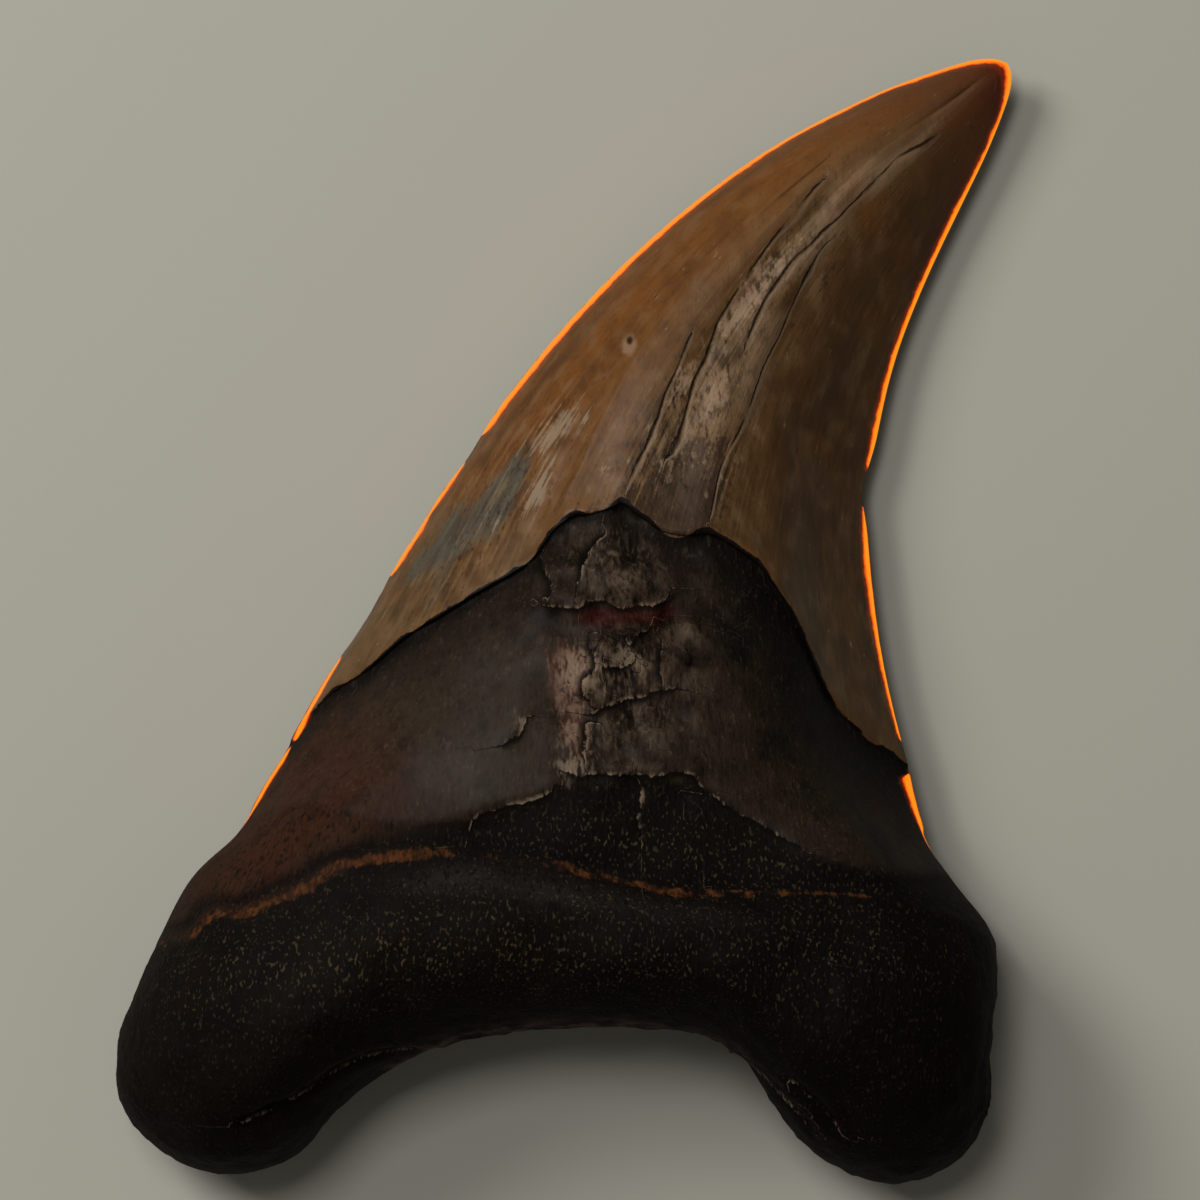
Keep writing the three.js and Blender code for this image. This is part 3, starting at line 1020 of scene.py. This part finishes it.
@dataclass(frozen=True)
class Relief:
    """The relief that is too fine for the solid, by how deep each kind of it is, in millimetres.

    Attributes:
        fold: The folds in the lobes.
        fold_lip: The lip beside each fold.
        wrinkle: The wrinkles along the arch.
        lobe: The root's slow unevenness.
        pore: Its pores.
        flank: The rough flank of the distal lobe.
        worn: How far the lower part of the dental band is worn down.
        plate: The broken plates.
        crumb: Their grain.
        crown: The enamel's slow unevenness.
        crease: Its creased places.
        brim: How far its border stands proud.
        fill: How much the groove beside the ridge fills up towards the tip.
    """

    fold: float = 0.3
    fold_lip: float = 0.12
    wrinkle: float = 0.12
    lobe: float = 0.10
    pore: float = 0.06
    flank: float = 0.3
    worn: float = 0.1
    plate: float = 0.16
    crumb: float = 0.07
    crown: float = 0.025
    crease: float = 0.055
    brim: float = 0.12
    fill: float = 0.2

    def height(self, places: np.ndarray, upward: np.ndarray) -> np.ndarray:
        """Works out how far each vertex moves outwards.

        Args:
            places: The vertices, in metres.
            upward: How far their normals point upwards, -1 to 1.

        Returns:
            The distances, in millimetres.
        """
        pixels = PicturePlan().pixels(places)
        inner = smoothstep(upward, -0.1, 0.25)
        enamel = height_over(INNER_ENAMEL_BORDER, pixels)
        neck = height_over(NECK_LINE, pixels)
        band = smoothstep(-enamel, 2, 8) * smoothstep(neck, 2, 10) * inner
        rise = self.folds(pixels) + smoothstep(-neck, 0, 10) * self.root(places, pixels)
        return rise + band * self.band(places, pixels) + inner * self.enamel(places, pixels, enamel)

    def folds(self, pixels: np.ndarray) -> np.ndarray:
        """Gives the folds of both lobes."""
        rise = np.zeros(len(pixels))
        for fold in FOLDS:
            above = fold.pinched(pixels)
            rise += self.fold_lip * np.exp(-(((above - 10) / 6) ** 2))
            rise -= self.fold * np.exp(-((above / 5) ** 2))
        return rise

    def root(self, places: np.ndarray, pixels: np.ndarray) -> np.ndarray:
        """Gives the root's unevenness, its pores, the wrinkles of the arch and the rough flank."""
        wrinkled = np.exp(-((away_from(ARCH_EDGE, pixels) / 22) ** 2))
        return (
            self.wrinkle * wrinkled * fine_noise(places, WRINKLE_GRAIN)
            + self.lobe * fine_noise(places, LOBE_GRAIN)
            + self.pore * fine_noise(places, PORE_GRAIN)
            + self.flank * ROUGH_FLANK.field(pixels) * fine_noise(places, FLANK_GRAIN)
        )

    def band(self, places: np.ndarray, pixels: np.ndarray) -> np.ndarray:
        """Gives the dental band's flakes and broken plates, and its worn lower part."""
        flakes = sum(flake.lift(pixels) for flake in FLAKES)
        worn = smoothstep(-height_over(LOWER_BAND, pixels), -2, 10)
        broken = self.plate * plate_noise(places) + self.crumb * fine_noise(places, CRUMB_GRAIN)
        return flakes - self.worn * worn + patch_field("plates", pixels).clip(0, 1) * broken

    def enamel(self, places: np.ndarray, pixels: np.ndarray, border: np.ndarray) -> np.ndarray:
        """Gives the enamel's unevenness and its brim, and fills the groove beside the ridge near the tip.

        Args:
            places: The vertices, in metres.
            pixels: Where they lie in the picture.
            border: How far they lie above the enamel's border, in pixels.

        Returns:
            How far they rise, in millimetres.
        """
        across, along = GrowthMap().places(pixels)
        creased = smoothstep(border, 0, 6) * patch_field("creased", pixels).clip(0, 1)
        brim = smoothstep(border, -1.5, 1.5) * np.exp(-np.maximum(border, 0) / 60)
        groove = smoothstep(along, 860, 980) * (1 - smoothstep(along, 1010, 1125))
        return (
            self.crown * smoothstep(border, 0, 8) * fine_noise(places, CROWN_GRAIN)
            + self.crease * creased * fine_noise(places, CREASE_GRAIN, 4)
            + self.brim * brim
            + self.fill * groove * np.exp(-(((across - 0.455) / 0.045) ** 2))
        )


class SkinFields:
    """Everything about the tooth's surface that changes slowly enough to be kept at its vertices."""

    # A vertex is on a cutting edge where it lies this close to it, in pixels, and faces sideways.
    EDGE_REACH = 5
    EDGE_FACING = 0.6
    # The edges' heights are measured in steps of this many pixels.
    EDGE_STEP = 30

    def __init__(self, places: np.ndarray, normals: np.ndarray) -> None:
        """Works out where each vertex lies in the picture and on the crown's hook.

        Args:
            places: The vertices, in metres.
            normals: Their normals.
        """
        self.places = places
        self.upward = normals[:, 2]
        self.pixels = PicturePlan().pixels(places)
        self.across, self.along = GrowthMap().places(self.pixels)
        self.from_edges = [away_from(edge, self.pixels) for edge in (MESIAL_EDGE, DISTAL_EDGE)]
        self.edge_heights = [self.edge_height(away) for away in self.from_edges]
        climb = (places[:, 2] - np.maximum(*self.edge_heights)) / MM
        self.inner = np.maximum(smoothstep(self.upward, -0.05, 0.05), smoothstep(climb, 0.8, 1.2))
        self.border = height_over(INNER_ENAMEL_BORDER, self.pixels)
        self.neck = height_over(NECK_LINE, self.pixels)
        self.lower = height_over(LOWER_BAND, self.pixels)
        self.blotch = fine_noise(places, BLOTCH_GRAIN)
        self.mottle = fine_noise(places + 0.1, MOTTLE_GRAIN)
        flow = np.stack([self.across * 30, self.along * 0.045, self.inner * 5], 1)
        self.broad = fine_noise(flow * MM, BROAD_FLOW, 4)
        self.streak = fine_noise(flow * MM, STREAK_FLOW)
        self.crumb = fine_noise(places, CRUMB_GRAIN)
        self.opening = 1.5 + 1.3 * fine_noise(places, LOBE_GRAIN, 2)
        self.shard = plate_noise(places) / 2 + 0.5

    def patch(self, name: str) -> np.ndarray:
        """Gives one named group of blobs as a field, on the inner face only."""
        return patch_field(name, self.pixels).clip(0, 1.2) * self.inner

    def nearest(self, lines: tuple[FeatureLine, ...]) -> np.ndarray:
        """Gives the signed distance from the nearest of several lines, in tens of pixels."""
        stack = np.stack([line.pinched(self.pixels) / line.width for line in lines])
        return stack[np.abs(stack).argmin(0), np.arange(stack.shape[1])] / 10

    def edge_height(self, away: np.ndarray) -> np.ndarray:
        """Follows how high one cutting edge lies.

        Args:
            away: Each vertex's distance from that edge in the picture, in pixels.

        Returns:
            The edge's height beside each vertex, in metres.
        """
        on_edge = (away < self.EDGE_REACH) & (np.abs(self.upward) < self.EDGE_FACING)
        steps = np.arange(0, self.along.max() + self.EDGE_STEP, self.EDGE_STEP)
        count, _ = np.histogram(self.along[on_edge], steps)
        total, _ = np.histogram(self.along[on_edge], steps, weights=self.places[on_edge, 2])
        middle = (steps[:-1] + steps[1:]) / 2
        return np.interp(self.along, middle[count > 0], total[count > 0] / count[count > 0])

    def rim(self) -> np.ndarray:
        """Compares each point's distance from a cutting edge with how far light shows through there.

        Returns:
            0 at the glowing edge and 1 where the light ends, never above 3.
        """
        ratios = []
        for rim, away, height in zip((MESIAL_RIM, DISTAL_RIM), self.from_edges, self.edge_heights):
            width = np.interp(self.pixels[:, 1], rim.rows, rim.widths, right=0)
            climb = (self.places[:, 2] - height) / PicturePlan().pixel
            ratios.append(np.hypot(away, climb * RIM_CLIMB) / np.maximum(width, 0.01))
        ratio = np.minimum(*ratios) + smoothstep(-self.upward, 0.0, 0.5) * 3
        return np.minimum(ratio, 3)

    def packs(self) -> dict[str, tuple[np.ndarray, np.ndarray, np.ndarray]]:
        """Builds every field.

        Returns:
            Three fields for each attribute's name.
        """
        outer = height_over(OUTER_ENAMEL_BORDER, self.pixels)
        enamel = np.where(self.inner > 0.5, self.border, outer)
        rust = RustLine().field(self.pixels[:, 0], self.neck + self.crumb * 4) * self.inner
        return {
            "place": (self.across, self.along / 100, self.inner),
            "borders": (enamel / 10, self.patch("fibrous"), rust),
            "cracks": (
                self.nearest((RIDGE_CRACK, DISTAL_CRACK)) * self.opening,
                self.nearest((MESIAL_CRACK, LONG_CRACK)) * self.opening,
                self.rim(),
            ),
            "ledges": (
                self.nearest(FLAKES[::2] + FOLDS[:1]),
                self.nearest(FLAKES[1::2] + FOLDS[1:]),
                self.patch("creased"),
            ),
            "patches": (self.patch("mineral"), self.patch("chips"), self.patch("stain")),
            "spread": (self.speckled(), self.gloss(), self.mottle),
            "enamel_tone": tuple(self.enamel_tone().T),
            "bare_tone": tuple(self.bare_tone().T),
        }

    def speckled(self) -> np.ndarray:
        """Says how thick the pale specks of the root's pores lie."""
        on_root = smoothstep(-self.neck, 0, 14) + smoothstep(-self.lower, -3, 5)
        return self.patch("specks") * np.clip(on_root, 0, 1)

    def gloss(self) -> np.ndarray:
        """Says how glossy the surface below the enamel is, 0 to 1."""
        band = smoothstep(self.neck, -4, 10) * smoothstep(self.lower, -4, 6)
        plates = self.patch("plates").clip(0, 1)
        return (self.patch("sheen").clip(0, 1) * 0.025 + 0.07 * (1 - plates * 0.7)) * band + 0.01

    def enamel_tone(self) -> np.ndarray:
        """Paints the enamel's slow changes of colour, one row of red, green and blue for each vertex."""
        tones = Enamel()
        place = self.across + self.blotch * 0.06 + self.broad * 0.05
        # Across the crown: the enamel's own tones, with a painted highlight on the ridge and painted
        # shade towards the distal edge.
        stops = (0.0, 0.12, 0.3, 0.44, 0.54, 0.62, 0.8, 1.0)
        upper = (tones.mesial, tones.amber, tones.mesial, tones.olive, tones.ridge, tones.shadow,
                 tones.distal, tones.distal)
        colour = np.stack([np.interp(place, stops, [tone[k] for tone in upper]) for k in range(3)], 1)
        # The lower part also darkens towards the distal side, partly painted shade.
        low = blend(smoothstep(place, 0.42, 0.62), tones.low, tones.low_distal)
        calm = 1 - smoothstep(self.along, 880, 1080)
        creased = self.patch("creased").clip(0, 1)
        slate = smoothstep(self.patch("slate") + self.streak * 0.3 + self.mottle * 0.25, 0.25, 0.8)
        near_tip = smoothstep(self.along, 1060, 1140)
        # Painted red glow just inside the distal edge, wider and stronger near the tip.
        red = np.exp(-self.from_edges[1] / (8 + 14 * near_tip)) * (0.5 + 0.4 * near_tip)
        return layered(colour, [
            (smoothstep(-self.along, -660, -430) * 0.9, low),
            (smoothstep(self.blotch, 0.05, 0.6) * 0.3, tones.amber),
            (smoothstep(-self.broad, 0.0, 0.7) * 0.35 * calm, tones.dark_streak_and_shade),
            (smoothstep(-self.streak, 0.0, 0.8) * 0.14 * calm, tones.dark_streak_and_shade),
            (smoothstep(self.streak, 0.1, 0.9) * 0.08 * calm, tones.pale_streak),
            (smoothstep(-self.mottle, 0.0, 0.8) * 0.16, tones.olive),
            (smoothstep(self.mottle, 0.0, 0.8) * 0.2, tones.dark_streak_and_shade),
            (smoothstep(self.crumb, 0.05, 0.6) * 0.16 * calm, tones.pale_streak),
            (smoothstep(-self.crumb, 0.05, 0.6) * 0.24 * calm, tones.dark_streak_and_shade),
            (smoothstep(self.crumb, 0.0, 0.6) * creased * 0.4, tones.pale_streak),
            (smoothstep(-self.crumb, 0.0, 0.6) * creased * 0.6, tones.dark_streak_and_shade),
            # Painted shade beside each crack.
            *[(self.beside_crack(crack) * 0.55, tones.dark_streak_and_shade) for crack in CRACKS],
            (slate * 0.85, tones.slate),
            (smoothstep(-self.streak, 0.0, 0.5) * slate * 0.45, tones.dark_streak_and_shade),
            (smoothstep(self.along, 950, 1125) * 0.85, tones.tip),
            (red * smoothstep(self.along, 780, 1000) * self.inner, tones.glow_fringe),
            (smoothstep(-self.border, -9, -1) * self.inner * 0.35, tones.amber),
        ])

    def beside_crack(self, crack: FeatureLine) -> np.ndarray:
        """Gives the patchy soft shade beside one crack."""
        close = np.exp(-((crack.pinched(self.pixels) / 7) ** 2))
        return close * smoothstep(self.crumb, -0.5, 0.5) * self.inner

    def band_tone(self) -> np.ndarray:
        """Paints the dental band's slow changes of colour, with the painted shadow under the enamel's
        edge and a partly painted sheen, one row for each vertex.
        """
        tones = Band()
        plates = self.patch("plates").clip(0, 1)
        sheen = self.patch("sheen").clip(0, 1)
        pink = smoothstep(self.patch("pink") + self.mottle * 0.3, 0.35, 0.85)
        red = smoothstep(self.patch("red") + self.mottle * 0.2, 0.25, 0.8)
        # Painted shadow on the band under the enamel's edge, deepest just below it and towards the distal
        # side.
        under = smoothstep(self.border, -85, -5) * (1 - sheen) * (1 - plates * 0.8)
        under *= smoothstep(self.across, 0.1, 0.5)
        under = np.maximum(under, smoothstep(self.border, -18, -4) * 0.85)
        lower = smoothstep(-self.lower, -3, 6) * smoothstep(self.across, 0.14, 0.34)
        return layered(tones.plain, [
            (smoothstep(self.mottle, -0.2, 0.8), tones.deep),
            # Partly a painted sheen: the grey-green tone where the band shines.
            (smoothstep(sheen + self.mottle * 0.4, 0.2, 0.9) * 0.9, tones.green),
            (self.patch("rusty").clip(0, 1) * 0.85, tones.rusty),
            ((plates * (0.1 + self.shard)).clip(0, 1), tones.plate),
            (smoothstep(self.crumb, 0.0, 0.7) * plates * 0.13, tones.pale),
            (smoothstep(-self.crumb, 0.0, 0.6) * (0.4 + plates * 0.25), tones.deep),
            (smoothstep(self.crumb, 0.1, 0.6) * sheen * 0.45, tones.plain),
            (pink * 0.6, tones.pink),
            (red * 0.85, tones.red),
            (under * self.inner, tones.deep),
            (lower * self.inner * 0.95, tones.deep),
        ])

    def bare_tone(self) -> np.ndarray:
        """Paints what lies below the enamel: the dental band, the painted shade of the groove at the
        neck, the root and the painted light on the arch's rim.
        """
        tones = Root()
        # Painted light on the wrinkled rim of the arch.
        arch = np.exp(-((away_from(ARCH_EDGE, self.pixels) / 9) ** 2))
        # Painted shade in a groove just above the neck line.
        groove = np.exp(-(((self.neck - 11) / 7) ** 2)) * self.inner
        return layered(tones.brown, [
            (smoothstep(self.mottle, -0.5, 0.6), tones.plain),
            (smoothstep(self.across, 0.4, 0.75) * 0.7, tones.deep),
            (self.patch("smoke").clip(0, 1) * 0.9, tones.smoke),
            (arch * smoothstep(self.crumb, -0.2, 0.4) * 0.7, tones.wrinkle),
            (smoothstep(self.neck, -6, 3), self.band_tone()),
            (groove * 0.85, tones.deep),
        ])


def blend(share: np.ndarray, first: np.ndarray | Colour, second: np.ndarray | Colour) -> np.ndarray:
    """Mixes two colours at every vertex.

    Args:
        share: 0 for the first colour, 1 for the second.
        first: The first colour, or one for each vertex.
        second: The second colour, or one for each vertex.

    Returns:
        The mixed colours, one row each.
    """
    return np.asarray(first) * (1 - share[:, None]) + np.asarray(second) * share[:, None]


def layered(
    colour: np.ndarray | Colour, layers: list[tuple[np.ndarray, np.ndarray | Colour]]
) -> np.ndarray:
    """Lays colours over one another at every vertex.

    Args:
        colour: The lowest colour.
        layers: How much each layer covers, 0 to 1, and its colour, from the lowest up.

    Returns:
        The mixed colours, one row each.
    """
    for share, tone in layers:
        colour = blend(share, colour, tone)
    return colour


def select_only(piece: bpy.types.Object) -> None:
    """Selects one object and makes it the active one."""
    bpy.ops.object.select_all(action="DESELECT")
    piece.select_set(True)
    bpy.context.view_layer.objects.active = piece


class FossilFinish:
    """The material of the whole tooth: enamel, dental band and root, each with its own wear and with
    painted highlights and shade, and the glow of the thin edges.
    """

    ENAMEL = Enamel()
    BAND = Band()
    ROOT = Root()
    GLOW = Glow()
    GLOSS = Gloss()

    def __init__(self) -> None:
        """Starts an empty material and reads the coordinates that all layers share."""
        self.bench = Bench("fossil_tooth_finish")
        bench = self.bench
        spot = bench.node("ShaderNodeTexCoord", {}, {}, "Object")
        self.spot = bench.stretched(spot, (1 / MM, 1 / MM, 1 / MM))
        self.across, self.along, self.inner = bench.pack("place")
        enamel_gap, self.fibrous, self.rust = bench.pack("borders")
        self.crack_a, self.crack_b, self.rim = bench.pack("cracks")
        self.ledge_a, self.ledge_b, self.creased = bench.pack("ledges")
        self.mineral, self.chips, self.stain = bench.pack("patches")
        self.dense, self.gloss, self.mottle = bench.pack("spread")
        places = (self.across, self.along, self.inner)
        flow = {axis: place * pace for axis, place, pace in zip("XYZ", places, HAIR_FLOW)}
        self.hair = bench.noise(bench.node("ShaderNodeCombineXYZ", {}, flow), 2, 0.62) - 0.5
        self.scale = self.grain(SCALE_GRAIN, 3, 0.72) - 0.5
        self.fine = self.grain(FIBRE_GRAIN, 1, 0.62) - 0.5
        self.enamel_gap = enamel_gap - 0.25 + self.scale * 0.5

    def grain(self, density: Triple, detail: float, roughness: float) -> Sock:
        """Reads a noise fixed in the tooth, so many bumps to a millimetre along each axis."""
        return self.bench.noise(self.bench.stretched(self.spot, density), detail, roughness)

    def cracks(self) -> tuple[Sock, Sock]:
        """Draws the long cracks.

        Returns:
            1 in a crack and 0 beside it, and 1 on the painted highlight along its lip.
        """
        first = self.crack_a + self.scale * 0.3
        second = self.crack_b + self.scale * 0.3
        away = abs(first).at_most(abs(second)) - self.scale * 0.12
        # Painted highlight along one lip of each crack.
        lip_highlights = [side.rise(0.15, 0.3) * side.rise(0.7, 0.35) for side in (first, second)]
        strength = (self.mottle * 1.4 + 0.95).rise(0.0, 1.0) * self.inner
        return away.rise(0.19, 0.03) * strength, lip_highlights[0].at_least(lip_highlights[1]) * self.inner

    def enamel(self) -> tuple[Sock, Sock, Sock]:
        """Builds the enamel layer.

        Returns:
            Its colour, its roughness and its cracks.
        """
        bench = self.bench
        tones = self.ENAMEL
        streaks = 0.05 + self.creased * 0.4
        grains = (self.fine + self.scale * 0.5).rise(-0.02, -0.3) * (0.25 + self.creased * 0.6)
        mineral = (self.mineral + self.hair * 2.0 + self.scale * 1.2).rise(0.4, 0.9)
        stain = (self.stain + self.scale * 2.6 - self.hair * 1.4).rise(0.4, 0.95)
        # Pale chipped patches with the painted granular highlight along the ridge.
        chips = (self.chips + self.scale * 2.6 + self.fine * 1.2 + self.hair).rise(0.45, 1.15)
        hole, ring = self.pit()
        cracks, lip_highlights = self.cracks()
        # Painted highlights along the cracks' lips, and the pale ring round the pit.
        pale = (lip_highlights * (0.1 + self.creased * 0.35)).at_least(ring * 0.4)
        dark = cracks.at_least(hole)
        colour = bench.layered(bench.attribute("enamel_tone"), [
            (self.hair.rise(0.0, 0.2) * streaks, tones.pale_streak),
            (self.hair.rise(0.0, -0.2) * streaks, tones.dark_streak_and_shade),
            (grains, tones.stain),
            (mineral * 0.55, tones.mineral),
            (stain * 0.7, tones.stain),
            (chips * 0.55, tones.chip),
            (pale, tones.chip),
            (dark * 0.9, tones.crack),
        ])
        return colour, 0.5 + self.scale * 0.3 + mineral * 0.2, dark

    def pit(self) -> tuple[Sock, Sock]:
        """Draws the small hole on the mesial slope.

        Returns:
            1 in the hole, and 1 on the pale ring round it.
        """
        pit = Pit()
        x, y = (part / MM for part in PicturePlan().place(pit.middle))
        flat = self.bench.stretched(self.spot, (*pit.squash, 0))
        middle = (x * pit.squash[0], y * pit.squash[1], 0)
        shifted = (middle[0] + pit.shift[0], middle[1] + pit.shift[1], 0)
        settings = {"operation": "DISTANCE"}
        hole, ring = (
            self.bench.node("ShaderNodeVectorMath", settings, {0: flat, 1: spot}, "Value")
            for spot in (middle, shifted)
        )
        return hole.rise(*pit.hole), (ring + self.scale * 0.5).rise(*pit.ring)

    def bare(self) -> tuple[Sock, Sock, Sock]:
        """Builds what lies below the enamel: the dental band and the root.

        Returns:
            The colour, the roughness and the shade under ledges and folds.
        """
        bench = self.bench
        band = self.BAND
        root = self.ROOT
        grains = (self.fine + self.scale * 0.5).rise(0.02, -0.25) * (0.8 - self.gloss * 4.5)
        flecks = (self.fine + self.scale).rise(0.1, 0.5) * self.gloss * 0.7
        fibres = (self.fibrous + self.fine * 2.6 + self.scale * 1.8).rise(0.4, 1.3)
        crest_highlight, shade = self.ledges()
        rust = (self.rust + self.scale * 1.7 + self.fine * 0.2).rise(0.25, 0.8)
        rust_tone = bench.mix((self.fine + self.scale * 1.5).rise(-0.2, 0.35), root.dark_rust, root.rust)
        colour = bench.layered(bench.attribute("bare_tone"), [
            (grains, band.deep),
            (flecks, band.pale),
            (fibres * (self.fibrous * 0.3 + 0.03), band.pale),
            (self.specks(), root.speck),
            # Painted highlight along the flakes' edges and the folds' lips, painted shade below them.
            (crest_highlight * 0.4, band.pale),
            (shade * 0.9, band.deep),
            (rust * self.inner, rust_tone),
        ])
        return colour, 0.8 + self.scale * 0.3, shade

    def ledges(self) -> tuple[Sock, Sock]:
        """Draws the broken edges of the flakes and the folds of the root.

        Returns:
            1 on the painted highlight along their edges, and 1 in the painted shade below them.
        """
        crest_highlights = []
        shades = []
        for away in (self.ledge_a, self.ledge_b):
            above = away + self.scale * 0.9 + self.fine * 0.4
            crest_highlights.append(above.rise(-0.05, 0.08) * above.rise(0.5, 0.1))
            shades.append(above.rise(-0.9, -0.15) * above.rise(0.06, -0.06))
        patchy = (self.fine * 2.0 + self.scale * 1.6 + self.mottle * 0.6).rise(-0.15, 0.5)
        crest_highlight = crest_highlights[0].at_least(crest_highlights[1]) * patchy
        return crest_highlight * self.inner, shades[0].at_least(shades[1]) * self.inner

    def specks(self) -> Sock:
        """Scatters the short pale dashes of the root's pores, thickest where the piece says so."""
        dashes = self.grain(DASH_GRAIN, 0.5, 0.5)
        shine = (0.1 + self.dense * 0.24) * (self.scale * 3.0 + 0.8)
        return (dashes + self.dense * 0.04).rise(0.63, 0.75) * shine * self.inner

    def glow(self) -> tuple[Sock, Sock]:
        """Builds the light that shows through the thin cutting edges.

        Returns:
            Its colour, black where none shows, and 1 wherever it shows.
        """
        bench = self.bench
        tones = self.GLOW
        depth = self.rim * (1.0 + self.scale * 0.8)
        stops = [
            (0.0, tones.edge),
            (0.3, tones.edge),
            (0.46, tones.middle),
            (0.58, tones.inner),
            (0.9, (0.0, 0.0, 0.0)),
        ]
        colour = bench.node("ShaderNodeValToRGB", {"stops": stops}, {"Fac": depth * 0.5}, "Color")
        return colour, depth.rise(1.4, 0.9)

    def dress(self, piece: bpy.types.Object) -> None:
        """Joins the layers and gives the piece its material.

        Args:
            piece: The tooth's skin.
        """
        bench = self.bench
        enamel_colour, enamel_rough, dark = self.enamel()
        bare_colour, bare_rough, shade = self.bare()
        is_enamel = self.enamel_gap.rise(-0.08, 0.08)
        is_bare = 1.0 - is_enamel
        colour = bench.mix(is_enamel, bare_colour, enamel_colour)
        # Painted shadow just under the enamel's edge, in the dark crack tone.
        lip = self.enamel_gap.rise(-0.45, -0.08) * self.enamel_gap.rise(0.12, 0.0) * self.inner
        colour = bench.mix(lip * 0.8, colour, self.ENAMEL.crack)
        light, lit = self.glow()
        colour = bench.mix(lit, colour, self.GLOW.under)
        rough = bare_rough * is_bare + enamel_rough * is_enamel
        relief = (self.scale * 1.4 + self.fine * 1.0) * is_bare
        rough_enamel = self.hair * 0.4 + self.scale * (self.creased * 1.4 + 0.4)
        height = relief + (rough_enamel - dark + 1.4) * is_enamel
        gloss = self.GLOSS
        bump = {"Strength": gloss.bump, "Distance": gloss.depth, "Height": height}
        normal = bench.node("ShaderNodeBump", {}, bump)
        coat = (is_enamel * gloss.enamel_coat + self.gloss * is_bare) * (1.0 - dark.at_least(shade))
        shader = bench.node(
            "ShaderNodeBsdfPrincipled",
            {},
            {
                "Base Color": colour,
                "Roughness": rough,
                "Normal": normal,
                "Specular IOR Level": gloss.specular,
                "Coat Weight": coat,
                "Coat Roughness": gloss.coat_roughness,
                "Emission Color": light,
                "Emission Strength": self.GLOW.strength,
            },
        )
        bench.node("ShaderNodeOutputMaterial", {}, {"Surface": shader})
        piece.data.materials.append(bench.material)


@dataclass(frozen=True)
class Lamp:
    """One square soft light that faces the tooth.

    Attributes:
        name: Its name.
        place: Where it hangs, in metres.
        side: Its side, in metres.
        power: Its power, in watts.
    """

    name: str
    place: Triple
    side: float
    power: float

    def hang(self) -> None:
        """Adds the light to the scene."""
        bpy.ops.object.select_all(action="DESELECT")
        bpy.ops.object.light_add(type="AREA", location=self.place)
        light = bpy.context.active_object
        light.name = self.name
        light.data.energy = self.power
        light.data.size = self.side
        light.rotation_euler = Vector(self.place).to_track_quat("Z", "Y").to_euler()


@dataclass
class Studio:
    """The plain floor, the soft lights and the camera.

    Attributes:
        floor_side: The floor's side, in metres.
        floor_colour: The floor's colour.
        frame_width: The width of what the camera sees at the tooth, in metres.
        lens: The camera's focal length, in millimetres.
        sensor: The width of its sensor, in millimetres.
        aim: The point of the plan at the middle of the frame, in pixels.
        lamps: A large key light on the mesial side and a weaker one above the tip.
        sky: The colour of the light from all round.
        sky_strength: How strong it is.
    """

    floor_side: float = 3.0
    floor_colour: Colour = from_screen(172, 169, 156)
    frame_width: float = PicturePlan().side * PicturePlan().pixel
    lens: float = 200.0
    sensor: float = 36.0
    aim: tuple[float, float] = (600.0, 600.0)
    lamps: tuple[Lamp, ...] = (
        Lamp("key", (-0.20, 0.16, 0.26), 0.14, 0.80),
        Lamp("top", (-0.06, 0.10, 0.40), 0.10, 0.52),
    )
    sky: Colour = (1.0, 0.98, 0.94)
    sky_strength: float = 0.12

    def build(self) -> None:
        """Sets up everything that is not part of the tooth."""
        self.lay_floor()
        self.hang_lights()
        self.place_camera()
        bpy.context.scene.view_settings.view_transform = "Standard"

    def lay_floor(self) -> None:
        """Lays the floor just under the tooth."""
        bpy.ops.object.select_all(action="DESELECT")
        bpy.ops.mesh.primitive_plane_add(size=self.floor_side, location=(0, 0, 0))
        floor = bpy.context.active_object
        floor.name = "floor"
        bench = Bench("floor_finish")
        look = {"Base Color": opaque(self.floor_colour), "Roughness": 0.8}
        shader = bench.node("ShaderNodeBsdfPrincipled", {}, look)
        bench.node("ShaderNodeOutputMaterial", {}, {"Surface": shader})
        floor.data.materials.append(bench.material)

    def hang_lights(self) -> None:
        """Hangs the lights and lights the scene weakly from all round."""
        for lamp in self.lamps:
            lamp.hang()
        world = bpy.data.worlds.new("studio")
        world.use_nodes = True
        background = world.node_tree.nodes["Background"]
        background.inputs["Color"].default_value = opaque(self.sky)
        background.inputs["Strength"].default_value = self.sky_strength
        bpy.context.scene.world = world

    def place_camera(self) -> None:
        """Hangs the camera straight over the tooth, with the tip at the top of the frame."""
        distance = self.frame_width * self.lens / self.sensor
        bpy.ops.object.select_all(action="DESELECT")
        place = (*PicturePlan().place(self.aim), distance)
        bpy.ops.object.camera_add(location=place, rotation=(0, 0, 0))
        camera = bpy.context.active_object
        camera.data.lens = self.lens
        camera.data.sensor_width = self.sensor
        camera.data.clip_start = 0.01
        bpy.context.scene.camera = camera


def main() -> None:
    """Loads the frame, builds the tooth's skin and the studio, and notes both sizes."""
    logging.basicConfig(level=logging.INFO, format="%(name)s: %(message)s")
    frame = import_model()
    skin = ToothSkin()
    tooth = skin.build(frame["nodes"][skin.node])
    FossilFinish().dress(tooth)
    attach(tooth, "root")
    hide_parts(skin.node)
    LOG.info("%s: %d faces", tooth.name, len(tooth.data.polygons))
    Studio().build()


if __name__ == "__main__":
    main()
